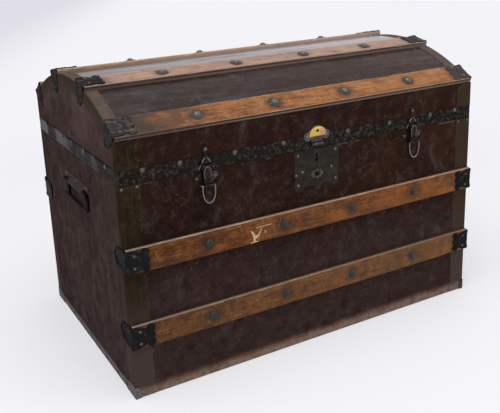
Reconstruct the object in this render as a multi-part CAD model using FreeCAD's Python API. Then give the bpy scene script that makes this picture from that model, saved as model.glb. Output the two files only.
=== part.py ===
import FreeCAD, Part
import math
import os

# Dome top trunk: a boarded box and a barrel-topped lid, both covered in painted canvas,
# bound at the edges and slatted in oak. All sizes are in millimetres, +Z is up, +X is the
# right-hand end as seen from the lock and the origin is on the floor under the middle.

Vec = FreeCAD.Vector

# ---- overall form ----
body_length = 810.0        # outside of the canvas, end to end
body_depth = 495.0         # outside of the canvas, front to back
seam_height = 412.0        # floor to the rim of the open box
seam_gap = 1.0             # daylight between box rim and lid rim
lid_wall_height = 75.0     # lid rim to the lip where the dome starts
dome_rise = 78.0           # lip to the crown of the dome

# ---- boards, canvas and paper ----
board_thick = 10.0
bottom_thick = 12.0
lid_board_thick = 9.0
stave_thick = 8.0
stave_count = 9
stave_gap = 0.3
canvas_thick = 1.0
canvas_hem = 0.6           # canvas stops this far above the floor
lining_thick = 0.6
lining_setback = 1.0       # lining stops this far below a rim

# ---- edge bindings and rim band ----
binding_thick = 0.8
binding_face_width = 38.0  # leg on the front or back face
binding_end_width = 26.0   # leg on the end face
dome_binding_width = 24.0  # leg on the dome
binding_setback = 0.5      # clear of floor and rim
binding_rivet_inset = 5.0  # from either side of the leg on the face
binding_rivet_drop = 5.5   # below the box rim
band_height = 26.0
band_thick = 1.2
band_clear = 0.3           # between the band and the bindings above it
end_strip_height = 16.0
end_strip_thick = 1.2
shoe_height = 24.0
shoe_face_length = 10.0    # a lip round the corner
shoe_end_length = 48.0
shoe_thick = 1.2
strip_clear = 0.4

# ---- slats and their end caps ----
slat_width = 48.0
slat_thick = 9.0
slat_round = 2.0
slat_sunk = 3.0            # a lid slat is hollowed below to lie on the dome
upper_slat_drop = 138.0    # box rim to the middle of the upper body slats
lower_slat_middle = 127.0  # floor to the middle of the lower body slat
lip_to_slat = 3.0          # arc length from the lip to the lowest lid slat
crown_slat_offset = 82.5   # middle of an upper lid slat from the crown
cap_thick = 1.5
cap_width = 44.0           # the flat of the slat between its rounded edges
cap_length = 38.0
body_cap_wrap = 46.0       # how far a cap of the box folds on to the end face
lid_cap_wrap = 36.0
cap_point = 14.0           # length of the pointed tail of the fold
cap_tip_width = 17.0
cap_lobes = 3
small_rivet_radius = 2.8
small_rivet_height = 1.5
cap_rivet_inset = 14.0
cap_rivet_pitch = 24.0

# ---- slat rivets and studs ----
rivet_end_inset = 162.0    # outermost column from the end of the box
rivet_columns = 4
rivet_radius = 8.0
rivet_height = 4.6
stud_radius = 6.5          # dome of a lid stud, on its eight-pointed washer
washer_side = 19.0
washer_thick = 1.0

# ---- rim tacks ----
tack_radius = 4.2
tack_height = 2.4
tack_drop = 5.0            # below the top edge of the band
tack_from_end = 45.0
tacks_from_latch = (50.0, -60.0)
tacks_from_hinge = (60.0, -50.0)
tack_from_middle = 75.0
end_tack_inset = 57.5
end_tack_from_middle = 70.0

# ---- lock and hasp plate ----
lock_width = 104.0
lock_top_drop = 1.6        # below the box rim
lock_height = 74.0
lock_plate_thick = 1.5
lock_ear_width = 20.0
lock_ear_drop = 7.0
lock_lobe_radius = 10.5    # round lobe below the middle of the plate
lock_rivet_inset = 8.0
lock_waist_drop = 42.0     # plate top to the rivets beside the keyhole
lock_waist_inset = 18.0
lock_side_rivet_inset = 3.5
lock_side_rivet_drop = 47.0
lock_low_rivet_rise = 6.0
lock_slot_width = 4.0
lock_slot_height = 17.0
lock_slot_drop = 9.0       # plate top to slot top
keyhole_drop = 51.0        # plate top to the middle of the keyhole
keyhole_radius = 2.6
keyhole_leg = 8.0
keyhole_leg_width = 2.6
boss_radius = 11.0         # half height of the oval rosette
boss_half_width = 14.5
boss_petal_radius = 3.6
boss_thick = 1.4
boss_petals = 8
case_width = 80.0
case_height = 56.0
case_wall = 1.2
case_top_drop = 6.0        # plate top to case top
case_back_gap = 0.5
mortise_clear = 0.3
bolt_end_clear = 2.5       # between the drawn bolt and the side of the case
bolt_height = 9.0
bolt_thick = 3.0
bolt_travel = 8.0
bolt_clear = 0.3
guide_wall = 1.5
guide_length = 3.0
guide_setback = 5.0        # first guide behind the bolt's nose
hasp_plate_thick = 1.5
hasp_drum_radius = 17.0
hasp_lobe_radius = 9.0
hasp_lobe_offset = 21.0
hasp_lobe_drop = 4.0
hasp_rivet_offset = 23.0
hasp_hole_rise = 5.0
hasp_hole_radius = 3.0
hasp_middle_rise = 28.0    # above the lid rim
hasp_tab_width = 26.0
hasp_tab_rest = 6.5        # tab's lower edge above the lid rim
hasp_knuckle_radius = 3.2

# ---- draw latches ----
latch_inset = 165.0        # from the end of the box
latch_rise = 7.0           # pivot above the lid rim
latch_pin_radius = 1.5
latch_barrel_radius = 3.2
run_clear = 0.06           # running clearance of a pin in a turning part, radial
seat_clear = 0.03          # clearance of a pin in the part that carries it, radial
side_clear = 0.4
bracket_thick = 1.5
bracket_head_radius = 6.5
bracket_head_rise = 38.0   # above the lid rim
bracket_neck_width = 8.0
bracket_neck_rise = 20.0   # lower end of the neck, above the lid rim
bracket_shoulder_width = 15.0
bracket_shoulder_rise = 18.0
bracket_foot_width = 32.0
bracket_foot_clear = 1.5   # above the lid rim
bracket_rivet_radius = 3.8
cheek_thick = 2.0
cheek_rise = 4.0           # above the barrel
lever_width = 17.0
lever_tip_width = 13.0
lever_tail = 30.0          # bail pivot to the tip
lever_thick = 2.0
lever_hole_radius = 2.2
lever_upper_hole = 11.0    # above the bail pivot
lever_lower_hole = 7.0     # below the bail pivot
keeper_width = 50.0
keeper_height = 27.0
keeper_thick = 1.5
keeper_drop = 2.0          # below the box rim
keeper_waist = 24.0
keeper_shoulder = 5.0
keeper_tuck = 3.0
keeper_rivet_inset = 6.0
keeper_rivet_rise = 2.0
catch_radius = 4.0
catch_clear = 1.6          # between the keeper's catch and the lever's back
bail_pivot_drop = 35.0     # below the latch pivot
bail_wire_radius = 1.4
bail_width = 24.0          # over the wire's centre line
bail_length = 34.0
bail_ear_radius = 2.8
bail_stand = 0.5           # between the bail and the lever's front

# ---- hinges ----
hinge_inset = 175.0        # from the end of the box
hinge_width = 62.0
hinge_leaf_thick = 2.0
hinge_barrel_radius = 4.0
hinge_pin_radius = 2.0
hinge_leaf_height = 58.0
hinge_leaf_clear = 0.5     # between the barrel and a leaf's edge
hinge_web_reach = 2.4      # how far the leaf's web reaches into its knuckle
hinge_band_clear = 0.5
hinge_knuckle_clear = 0.3
hinge_rivet_side = 11.0    # from the side of a leaf
hinge_rivet_end = 12.0     # from the end of a leaf
hinge_rivet_pitch = 30.0

# ---- end handles ----
handle_span = 145.0
handle_top_drop = 50.0     # below the box rim
handle_plate_height = 13.0
handle_plate_thick = 1.5
handle_barrel_radius = 4.0
handle_web_rise = 2.0      # underside of the web above the axle
handle_hub_radius = 3.5
handle_rivet_inset = 12.0
handle_rivet_rise = 1.0
handle_axle_radius = 2.0
handle_leg_width = 26.0
handle_leg_thick = 3.0
handle_drop = 32.0         # axle to the middle of the grip
handle_grip_radius = 3.2
handle_face_clear = 0.5

# ---- sizes that follow ----
half_l = body_length / 2.0
half_d = body_depth / 2.0
lid_rim = seam_height + seam_gap
lip_height = lid_rim + lid_wall_height
crown_height = lip_height + dome_rise
dome_radius = (half_d ** 2 + dome_rise ** 2) / (2.0 * dome_rise)
dome_centre = crown_height - dome_radius
band_top = lid_rim + band_height
lip_angle = math.asin(half_d / dome_radius)
side_slat_angle = lip_angle - (lip_to_slat + slat_width / 2.0) / dome_radius
crown_slat_angle = math.asin(crown_slat_offset / dome_radius)
inner_l = half_l - canvas_thick - board_thick
inner_d = half_d - canvas_thick - board_thick
lid_inner_l = half_l - canvas_thick - lid_board_thick
lid_inner_d = half_d - canvas_thick - lid_board_thick
latch_offset = half_l - latch_inset
hinge_offset = half_l - hinge_inset
upper_slat_middle = seam_height - upper_slat_drop
reach = 4.0 * body_length  # longer than anything here, for cutting tools
overcut = 1.0              # how far a cutting tool runs past a face


def box(x0, x1, y0, y1, z0, z1):
    return Part.makeBox(x1 - x0, y1 - y0, z1 - z0, Vec(x0, y0, z0))


def rod(start, direction, radius, length):
    """A round bar from a start point along a direction."""
    return Part.makeCylinder(radius, length, Vec(*start), Vec(*direction))


def plate(points, thickness, normal):
    """A flat plate from corner points, thickened along its normal."""
    corners = [Vec(*p) for p in points]
    wire = Part.makePolygon(corners + [corners[0]])
    return Part.Face(wire).extrude(Vec(*normal) * thickness)


def fused(shapes):
    whole = shapes[0]
    if len(shapes) > 1:
        whole = shapes[0].fuse(shapes[1:])
    return whole.removeSplitter()


def mirrored_x(shape):
    return shape.mirror(Vec(0, 0, 0), Vec(1, 0, 0))


def mirrored_y(shape):
    return shape.mirror(Vec(0, 0, 0), Vec(0, 1, 0))


def turned(shape, angle):
    """Turned about the dome's centre line, a positive angle going towards the back."""
    copy = shape.copy()
    copy.rotate(Vec(0, 0, dome_centre), Vec(1, 0, 0), -math.degrees(angle))
    return copy


def dome_cap(radius, height, base, direction):
    """A shallow domed rivet head standing on a base point."""
    sphere_radius = (radius ** 2 + height ** 2) / (2.0 * height)
    normal = Vec(*direction)
    centre = Vec(*base) - normal * (sphere_radius - height)
    ball = Part.makeSphere(sphere_radius, centre)
    slab = Part.makeCylinder(radius + overcut, height + overcut, Vec(*base), normal)
    return ball.common(slab)


def solids(shape):
    return [s for s in shape.Solids]


small_rivets = {"body": [], "lid": []}  # gathered by the functions below, written last


def write(name, *shapes):
    pieces = [s for shape in shapes for s in solids(shape)]
    whole = pieces[0] if len(pieces) == 1 else Part.makeCompound(pieces)
    whole.exportStep("parts/" + name + ".step")
    volume = sum(p.Volume for p in pieces)
    print("%-26s %2d solids %12.1f mm3" % (name, len(pieces), volume))


def lid_section(offset, x0, x1, bottom):
    """The lid's outline, grown by an offset, as a solid between two X stations."""
    side = half_d + offset
    radius = dome_radius + offset
    shoulder = dome_centre + math.sqrt(radius ** 2 - side ** 2)
    low_front = Vec(x0, -side, bottom)
    top_front = Vec(x0, -side, shoulder)
    crown = Vec(x0, 0, dome_centre + radius)
    top_back = Vec(x0, side, shoulder)
    low_back = Vec(x0, side, bottom)
    edges = [
        Part.LineSegment(low_front, top_front).toShape(),
        Part.Arc(top_front, crown, top_back).toShape(),
        Part.LineSegment(top_back, low_back).toShape(),
        Part.LineSegment(low_back, low_front).toShape(),
    ]
    return Part.Face(Part.Wire(edges)).extrude(Vec(x1 - x0, 0, 0))


# ---- box ----
lock_top = seam_height - lock_top_drop
case_top = lock_top - case_top_drop
case_base = case_top - case_height


def lock_mortise():
    half = case_width / 2.0 + mortise_clear
    return box(-half, half, -half_d - overcut, -inner_d + overcut,
               case_base - mortise_clear, case_top + mortise_clear)


def box_boards():
    outer_l = half_l - canvas_thick
    outer_d = half_d - canvas_thick
    front = box(-outer_l, outer_l, -outer_d, -inner_d, bottom_thick, seam_height)
    back = mirrored_y(front)
    right = box(inner_l, outer_l, -inner_d, inner_d, bottom_thick, seam_height)
    write("body_front_board", front.cut(lock_mortise()))
    write("body_back_board", back)
    write("body_right_end_board", right)
    write("body_left_end_board", mirrored_x(right))
    write("body_bottom_board", box(-outer_l, outer_l, -outer_d, outer_d, 0, bottom_thick))


def box_canvas():
    outer = box(-half_l, half_l, -half_d, half_d, canvas_hem, seam_height)
    core_l = half_l - canvas_thick
    core_d = half_d - canvas_thick
    core = box(-core_l, core_l, -core_d, core_d, -overcut, seam_height + overcut)
    write("body_canvas", outer.cut(core).cut(lock_mortise()))


def box_lining():
    top = seam_height - lining_setback
    outer = box(-inner_l, inner_l, -inner_d, inner_d, bottom_thick, top)
    t = lining_thick
    core = box(-inner_l + t, inner_l - t, -inner_d + t, inner_d - t,
               bottom_thick + t, top + overcut)
    write("body_lining", outer.cut(core))


def body_binding():
    """The angle strip on the front right upright edge."""
    t = binding_thick
    low = binding_setback
    high = seam_height - binding_setback
    on_face = box(half_l - binding_face_width, half_l + t, -half_d - t, -half_d, low, high)
    on_end = box(half_l, half_l + t, -half_d - t, -half_d + binding_end_width, low, high)
    return fused([on_face, on_end])


def four_corners(shape):
    right = [shape, mirrored_y(shape)]
    return right + [mirrored_x(s) for s in right]


def corner_shoe():
    """The sheet shoe on the front right bottom corner, outside the binding."""
    inside = binding_thick
    outside = binding_thick + shoe_thick
    on_face = box(half_l - shoe_face_length, half_l + outside,
                  -half_d - outside, -half_d - inside, 0, shoe_height)
    on_end = box(half_l + inside, half_l + outside,
                 -half_d - outside, -half_d + shoe_end_length, 0, shoe_height)
    return fused([on_face, on_end])


def end_strip():
    half = half_d - max(shoe_end_length, binding_end_width) - strip_clear
    return box(half_l, half_l + end_strip_thick, -half, half, 0, end_strip_height)


# ---- lid ----
def lid_boards():
    face = half_l - canvas_thick
    end = lid_section(-canvas_thick, lid_inner_l, face, lid_rim)
    write("lid_right_end_board", end)
    write("lid_left_end_board", mirrored_x(end))
    rail_face = half_d - canvas_thick
    disc = rod((-lid_inner_l, 0, dome_centre), (1, 0, 0),
               dome_radius - canvas_thick - stave_thick, 2.0 * lid_inner_l)
    rail = box(-lid_inner_l, lid_inner_l, -rail_face, -lid_inner_d, lid_rim, crown_height)
    rail = rail.common(disc)
    write("lid_front_rail", rail)
    write("lid_back_rail", mirrored_y(rail))


def lid_staves():
    outer = dome_radius - canvas_thick
    inner = outer - stave_thick
    full = rod((-lid_inner_l, 0, dome_centre), (1, 0, 0), outer, 2.0 * lid_inner_l)
    hollow = rod((-reach / 2.0, 0, dome_centre), (1, 0, 0), inner, reach)
    face = half_d - canvas_thick
    room = box(-lid_inner_l, lid_inner_l, -face, face, lid_rim, crown_height)
    shell = full.cut(hollow).common(room)
    step = 2.0 * face / stave_count
    for i in range(1, stave_count):
        y = -face + i * step
        kerf = box(-reach / 2.0, reach / 2.0, y - stave_gap / 2.0, y + stave_gap / 2.0,
                   0, crown_height)
        shell = shell.cut(kerf)
    write("lid_staves", shell)


def lid_canvas():
    outer = lid_section(0, -half_l, half_l, lid_rim)
    face = half_l - canvas_thick
    core = lid_section(-canvas_thick, -face, face, lid_rim - overcut)
    write("lid_canvas", outer.cut(core))
    return outer


def lid_lining():
    """Paper inside the rails, staves and end boards of the lid."""
    low = lid_rim + lining_setback
    t = lining_thick
    radius = dome_radius - canvas_thick - stave_thick

    def cavity(shrink, bottom):
        l = lid_inner_l - shrink
        d = lid_inner_d - shrink
        disc = rod((-l, 0, dome_centre), (1, 0, 0), radius - shrink, 2.0 * l)
        return box(-l, l, -d, d, bottom, crown_height).common(disc)

    write("lid_lining", cavity(0, low).cut(cavity(t, low - overcut)))


def lid_binding(lid_outer):
    """One strip up the front edge, over the dome and down the back edge of the right end."""
    t = binding_thick
    grown = lid_section(t, half_l - binding_face_width, half_l + t, lid_rim)
    window = lid_section(-binding_end_width, half_l - overcut, half_l + t + overcut,
                         lid_rim - overcut)
    strip = grown.cut(lid_outer).cut(window)
    narrow = box(half_l - binding_face_width, half_l - dome_binding_width,
                 -half_d, half_d, 0, reach)
    above_band = box(0, reach, -reach, reach, band_top + band_clear, reach)
    return strip.cut(narrow).common(above_band)


def rim_band():
    t = band_thick
    outer = box(-half_l - t, half_l + t, -half_d - t, half_d + t, lid_rim, band_top)
    return outer.cut(box(-half_l, half_l, -half_d, half_d, lid_rim - overcut, band_top + overcut))


def rim_tacks():
    z = band_top - tack_drop
    shared = [half_l - tack_from_end, tack_from_middle]
    front = shared + [latch_offset + step for step in tacks_from_latch]
    back = shared + [hinge_offset + step for step in tacks_from_hinge]
    heads = []
    for face, places in ((-1, front), (1, back)):
        for x in places:
            for side in (-1, 1):
                base = (side * x, face * (half_d + band_thick), z)
                heads.append(dome_cap(tack_radius, tack_height, base, (0, face, 0)))
    for y in (half_d - end_tack_inset, end_tack_from_middle):
        for side in (-1, 1):
            for face in (-1, 1):
                base = (face * (half_l + band_thick), side * y, z)
                heads.append(dome_cap(tack_radius, tack_height, base, (face, 0, 0)))
    return heads


# ---- slats ----
def slat_bar(sunk):
    """A slat lying on the XY plane along X: rounded above, with an allowance below."""
    half = slat_width / 2.0
    bar = box(-half_l, half_l, -half, half, 0, slat_thick)
    upper = [e for e in bar.Edges
             if e.BoundBox.ZMin > slat_thick / 2.0 and e.BoundBox.XLength > half_l]
    bar = bar.makeFillet(slat_round, upper)
    if sunk > 0:
        bar = fused([bar, box(-half_l, half_l, -half, half, -sunk, 0)])
    return bar


def slat_cap(depth):
    """A slat's right end cap: a lobed plate on the slat's face, folded down to a depth."""
    half = cap_width / 2.0
    tip = cap_tip_width / 2.0
    start = half_l - cap_length
    x = half_l + binding_thick
    top = slat_thick + cap_thick
    shapes = [box(start, x + cap_thick, -half, half, slat_thick, top)]
    lobe = half / cap_lobes
    for i in range(cap_lobes):
        y = -half + lobe * (2 * i + 1)
        shapes.append(rod((start, y, slat_thick), (0, 0, 1), lobe, cap_thick))
    points = [(x, -half, top), (x, half, top), (x, half, -depth + cap_point),
              (x, tip, -depth), (x, -tip, -depth), (x, -half, -depth + cap_point)]
    shapes.append(plate(points, cap_thick, (1, 0, 0)))
    return fused(shapes)


def laid_on_front(shape, height):
    """From lying on the XY plane to standing on the front face at a height."""
    copy = shape.copy()
    copy.rotate(Vec(0, 0, 0), Vec(1, 0, 0), 90)
    copy.translate(Vec(0, -half_d, height))
    return copy


def laid_on_dome(shape, angle):
    copy = shape.copy()
    copy.translate(Vec(0, 0, crown_height))
    return turned(copy, angle)


def slat_set(lid_outer, lid_strips):
    body_strips = four_corners(body_binding())
    bar = slat_bar(0)
    low_bar = slat_bar(slat_sunk)
    body_cap = slat_cap(body_cap_wrap)
    lid_cap = slat_cap(lid_cap_wrap)
    caps_body = []
    for height, name in ((upper_slat_middle, "body_slat_front_upper"),
                         (lower_slat_middle, "body_slat_front_lower")):
        slat = laid_on_front(bar, height).cut(body_strips)
        cap = laid_on_front(body_cap, height)
        caps_body.append(cap)
        write(name, slat)
        if height == upper_slat_middle:
            write("body_slat_back_upper", mirrored_y(slat))
            caps_body.append(mirrored_y(cap))
    write("body_slat_caps_right", *caps_body)
    write("body_slat_caps_left", *[mirrored_x(c) for c in caps_body])
    caps_lid = []
    lid_ground = [lid_outer] + lid_strips
    for angle, front_name, back_name in (
            (-side_slat_angle, "lid_slat_front_lower", "lid_slat_back_lower"),
            (-crown_slat_angle, "lid_slat_front_upper", "lid_slat_back_upper")):
        slat = laid_on_dome(low_bar, angle).cut(lid_ground)
        slat = max(solids(slat), key=lambda s: s.Volume)
        cap = laid_on_dome(lid_cap, angle)
        write(front_name, slat)
        write(back_name, mirrored_y(slat))
        caps_lid += [cap, mirrored_y(cap)]
    write("lid_slat_caps_right", *caps_lid)
    write("lid_slat_caps_left", *[mirrored_x(c) for c in caps_lid])


def column_places():
    last = half_l - rivet_end_inset
    pitch = 2.0 * last / (rivet_columns - 1)
    return [-last + i * pitch for i in range(rivet_columns)]


def slat_rivets():
    heads = []
    for x in column_places():
        head = dome_cap(rivet_radius, rivet_height, (x, 0, slat_thick), (0, 0, 1))
        heads.append(laid_on_front(head, upper_slat_middle))
        heads.append(mirrored_y(heads[-1]))
        heads.append(laid_on_front(head, lower_slat_middle))
    write("body_slat_rivets", *heads)


def lid_studs():
    heads = []
    side = washer_side / 2.0
    for x in column_places():
        washer = box(x - side, x + side, -side, side, slat_thick, slat_thick + washer_thick)
        star = washer.copy()
        star.rotate(Vec(x, 0, 0), Vec(0, 0, 1), 45)
        dome = dome_cap(stud_radius, rivet_height,
                        (x, 0, slat_thick + washer_thick), (0, 0, 1))
        stud = fused([washer, star, dome])
        for angle in (side_slat_angle, crown_slat_angle):
            heads += [laid_on_dome(stud, angle), laid_on_dome(stud, -angle)]
    write("lid_slat_studs", *heads)


def cap_rivets():
    x = half_l - cap_rivet_inset
    y = cap_rivet_pitch / 2.0
    top = slat_thick + cap_thick
    pair = [dome_cap(small_rivet_radius, small_rivet_height, (x, s * y, top), (0, 0, 1))
            for s in (-1, 1)]
    on_body = []
    on_lid = []
    for head in pair:
        for height in (upper_slat_middle, lower_slat_middle):
            on_body.append(laid_on_front(head, height))
        on_body.append(mirrored_y(laid_on_front(head, upper_slat_middle)))
        for angle in (side_slat_angle, crown_slat_angle):
            on_lid += [laid_on_dome(head, angle), laid_on_dome(head, -angle)]
    small_rivets["body"] += on_body + [mirrored_x(h) for h in on_body]
    small_rivets["lid"] += on_lid + [mirrored_x(h) for h in on_lid]


# ---- lock ----
slot_top = lock_top - lock_slot_drop
keyhole_height = lock_top - keyhole_drop
bolt_middle = slot_top - lock_slot_height / 2.0


def keyhole():
    leg = keyhole_leg_width / 2.0
    return fused([
        rod((0, -reach, keyhole_height), (0, 1, 0), keyhole_radius, 2.0 * reach),
        box(-leg, leg, -reach, reach, keyhole_height - keyhole_leg, keyhole_height)])


def lock_plate():
    half = lock_width / 2.0
    y = -half_d - lock_plate_thick
    base = lock_top - lock_height
    ear = half - lock_ear_width
    main = box(-half, half, y, -half_d, base, lock_top)
    ears = [box(s * (half + ear) / 2.0 - lock_ear_width / 2.0,
                s * (half + ear) / 2.0 + lock_ear_width / 2.0,
                y, -half_d, base - lock_ear_drop, base) for s in (-1, 1)]
    lobe = rod((0, y, base), (0, 1, 0), lock_lobe_radius, lock_plate_thick)
    slot = box(-lock_slot_width / 2.0, lock_slot_width / 2.0, -reach, reach,
               slot_top - lock_slot_height, slot_top)
    write("lock_plate", fused([main, lobe] + ears).cut([slot, keyhole()]))


def keyhole_boss():
    back = -half_d - lock_plate_thick
    front = back - boss_thick
    ring = boss_radius - boss_petal_radius
    spread = boss_half_width - boss_petal_radius
    shapes = [rod((0, front, keyhole_height), (0, 1, 0), ring, boss_thick)]
    for i in range(boss_petals):
        a = 2.0 * math.pi * i / boss_petals
        x = spread * math.cos(a)
        z = keyhole_height + ring * math.sin(a)
        shapes.append(rod((x, front, z), (0, 1, 0), boss_petal_radius, boss_thick))
    write("keyhole_boss", fused(shapes).cut(keyhole()))


def lock_works():
    """The case let into the front board, and the bolt that slides in its two guides."""
    back = -inner_d - case_back_gap
    half = case_width / 2.0
    w = case_wall
    case = box(-half, half, -half_d, back, case_base, case_top)
    room = box(-half + w, half - w, -half_d - overcut, back - w, case_base + w, case_top - w)
    case = case.cut(room)
    floor = back - w
    bolt_back = floor - bolt_clear
    bolt_front = bolt_back - bolt_thick
    low = bolt_middle - bolt_height / 2.0
    high = bolt_middle + bolt_height / 2.0
    bolt_start = lock_slot_width / 2.0 + bolt_clear
    bolt_end = half - w - bolt_end_clear
    guides = []
    guide_front = bolt_front - bolt_clear - guide_wall
    far_guide = bolt_end - bolt_travel - guide_length
    for x in (bolt_start + guide_setback, far_guide):
        block = box(x, x + guide_length, guide_front, floor,
                    low - bolt_clear - guide_wall, high + bolt_clear + guide_wall)
        passage = box(x - overcut, x + guide_length + overcut, bolt_front - bolt_clear, floor,
                      low - bolt_clear, high + bolt_clear)
        guides.append(block.cut(passage))
    write("lock_case", fused([case] + guides))
    bolt = box(bolt_start, bolt_end, bolt_front, bolt_back, low, high)
    write("lock_bolt", bolt)


def lock_rivets():
    y = -half_d - lock_plate_thick
    half = lock_width / 2.0
    x = half - lock_rivet_inset
    waist_x = half - lock_waist_inset
    top = lock_top - lock_rivet_inset
    low = lock_top - lock_height + lock_low_rivet_rise
    waist = lock_top - lock_waist_drop
    side = (-half + lock_side_rivet_inset, lock_top - lock_side_rivet_drop)
    places = [(x, top), (-x, top), (waist_x, waist), (-waist_x, waist), (x, low), (-x, low), side]
    small_rivets["body"] += [dome_cap(small_rivet_radius, small_rivet_height,
                                      (px, y, pz), (0, -1, 0)) for px, pz in places]


def binding_rivets():
    """A pair at the top of each body binding's leg on the front and the back."""
    z = seam_height - binding_rivet_drop
    inner = half_l - binding_face_width + binding_rivet_inset
    for x in (half_l - binding_rivet_inset, inner):
        head = dome_cap(small_rivet_radius, small_rivet_height,
                        (x, -half_d - binding_thick, z), (0, -1, 0))
        small_rivets["body"] += four_corners(head)


def hasp_plate():
    """Trefoil plate left on the lid, with the stub of its hinge lying on the band."""
    back = -half_d - band_thick
    front = back - hasp_plate_thick
    z = lid_rim + hasp_middle_rise
    shapes = [rod((0, front, z), (0, 1, 0), hasp_drum_radius, hasp_plate_thick)]
    for side in (-1, 1):
        shapes.append(rod((side * hasp_lobe_offset, front, z - hasp_lobe_drop), (0, 1, 0),
                          hasp_lobe_radius, hasp_plate_thick))
    tab = hasp_tab_width / 2.0
    low = lid_rim + hasp_tab_rest
    shapes.append(box(-tab, tab, front, back, low, z))
    knuckle = rod((-tab, front - hasp_knuckle_radius + hasp_plate_thick, low), (1, 0, 0),
                  hasp_knuckle_radius, hasp_tab_width)
    shapes.append(knuckle)
    hole = rod((0, -reach, z + hasp_hole_rise), (0, 1, 0), hasp_hole_radius, 2.0 * reach)
    write("hasp_plate", fused(shapes).cut(hole))
    small_rivets["lid"] += [dome_cap(small_rivet_radius, small_rivet_height,
                                     (s * hasp_rivet_offset, front, z - hasp_lobe_drop),
                                     (0, -1, 0)) for s in (-1, 1)]


# ---- draw latches ----
latch_height = lid_rim + latch_rise
latch_plate_back = -half_d - band_thick
latch_axis_y = latch_plate_back - bracket_thick - latch_barrel_radius - side_clear
lever_back = latch_axis_y
lever_front = lever_back - lever_thick
bail_height = latch_height - bail_pivot_drop
bail_axis_y = lever_front - bail_wire_radius - bail_stand


def latch_bracket():
    """Bell-shaped plate on the lid, with a round head and two cheeks that hold the pin."""
    back = latch_plate_back
    front = back - bracket_thick
    head_z = lid_rim + bracket_head_rise
    neck = bracket_neck_width / 2.0
    shoulder = bracket_shoulder_width / 2.0
    foot = bracket_foot_width / 2.0
    neck_z = lid_rim + bracket_neck_rise
    shoulder_z = lid_rim + bracket_shoulder_rise
    low = lid_rim + bracket_foot_clear
    shapes = [
        rod((0, front, head_z), (0, 1, 0), bracket_head_radius, bracket_thick),
        plate([(-neck, front, head_z), (neck, front, head_z), (neck, front, neck_z),
               (shoulder, front, shoulder_z), (foot, front, low), (-foot, front, low),
               (-shoulder, front, shoulder_z), (-neck, front, neck_z)],
              bracket_thick, (0, 1, 0))]
    for side in (-1, 1):
        x0 = side * (lever_width / 2.0 + side_clear + cheek_thick / 2.0) - cheek_thick / 2.0
        shapes.append(box(x0, x0 + cheek_thick, latch_axis_y, back,
                          latch_height - latch_barrel_radius,
                          latch_height + latch_barrel_radius + cheek_rise))
        shapes.append(rod((x0, latch_axis_y, latch_height), (1, 0, 0),
                          latch_barrel_radius, cheek_thick))
    whole = fused(shapes)
    bore = rod((-reach / 2.0, latch_axis_y, latch_height), (1, 0, 0),
               latch_pin_radius + seat_clear, reach)
    return whole.cut(bore)


def latch_pin():
    half = lever_width / 2.0 + side_clear + cheek_thick
    return rod((-half, latch_axis_y, latch_height), (1, 0, 0), latch_pin_radius, 2.0 * half)


def latch_lever():
    half = lever_width / 2.0
    tip = lever_tip_width / 2.0
    tip_z = bail_height - lever_tail + tip
    shapes = [
        rod((-half, latch_axis_y, latch_height), (1, 0, 0), latch_barrel_radius, lever_width),
        plate([(-half, lever_front, latch_height), (half, lever_front, latch_height),
               (half, lever_front, bail_height + bail_ear_radius),
               (tip, lever_front, bail_height - bail_ear_radius), (tip, lever_front, tip_z),
               (-tip, lever_front, tip_z), (-tip, lever_front, bail_height - bail_ear_radius),
               (-half, lever_front, bail_height + bail_ear_radius)],
              lever_thick, (0, 1, 0)),
        rod((0, lever_front, tip_z), (0, 1, 0), tip, lever_thick)]
    ear = bail_width / 2.0 - bail_wire_radius - side_clear
    shapes.append(rod((-ear, bail_axis_y, bail_height), (1, 0, 0), bail_ear_radius, 2.0 * ear))
    whole = fused(shapes)
    drills = [rod((0, -reach, bail_height + rise), (0, 1, 0), lever_hole_radius, 2.0 * reach)
              for rise in (lever_upper_hole, -lever_lower_hole)]
    drills.append(rod((-reach / 2.0, latch_axis_y, latch_height), (1, 0, 0),
                      latch_pin_radius + run_clear, reach))
    drills.append(rod((-reach / 2.0, bail_axis_y, bail_height), (1, 0, 0),
                      bail_wire_radius + run_clear, reach))
    return whole.cut(drills)


def latch_bail():
    """A wire loop through the lever's eye: straight axle, two legs and a round bottom."""
    r = bail_wire_radius
    half = bail_width / 2.0
    bottom = bail_height - bail_length + half
    bend = Part.makeTorus(half, r, Vec(0, bail_axis_y, bottom), Vec(0, 1, 0))
    lower = box(-reach, reach, -reach, reach, bottom - 2.0 * bail_width, bottom)
    shapes = [bend.common(lower)]
    for side in (-1, 1):
        shapes.append(rod((side * half, bail_axis_y, bottom), (0, 0, 1), r,
                          bail_height - bottom))
        shapes.append(Part.makeSphere(r, Vec(side * half, bail_axis_y, bail_height)))
    shapes.append(rod((-half, bail_axis_y, bail_height), (1, 0, 0), r, bail_width))
    return fused(shapes)


def latch_keeper():
    """Winged plate on the box with the domed catch behind the lever."""
    half = keeper_width / 2.0
    waist = keeper_waist / 2.0
    back = -half_d
    front = back - keeper_thick
    high = seam_height - keeper_drop
    low = high - keeper_height
    mid = high - keeper_height / 2.0
    shoulder = high - keeper_shoulder
    tuck = mid - keeper_tuck
    wings = plate([(-half, front, shoulder), (-waist, front, high), (waist, front, high),
                   (half, front, shoulder), (half, front, tuck), (waist, front, low),
                   (-waist, front, low), (-half, front, tuck)], keeper_thick, (0, 1, 0))
    catch = dome_cap(catch_radius, front - lever_back - catch_clear, (0, front, mid),
                     (0, -1, 0))
    heads = [dome_cap(small_rivet_radius, small_rivet_height,
                      (s * (half - keeper_rivet_inset), front, mid + keeper_rivet_rise),
                      (0, -1, 0)) for s in (-1, 1)]
    return fused([wings, catch]), heads


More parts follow.
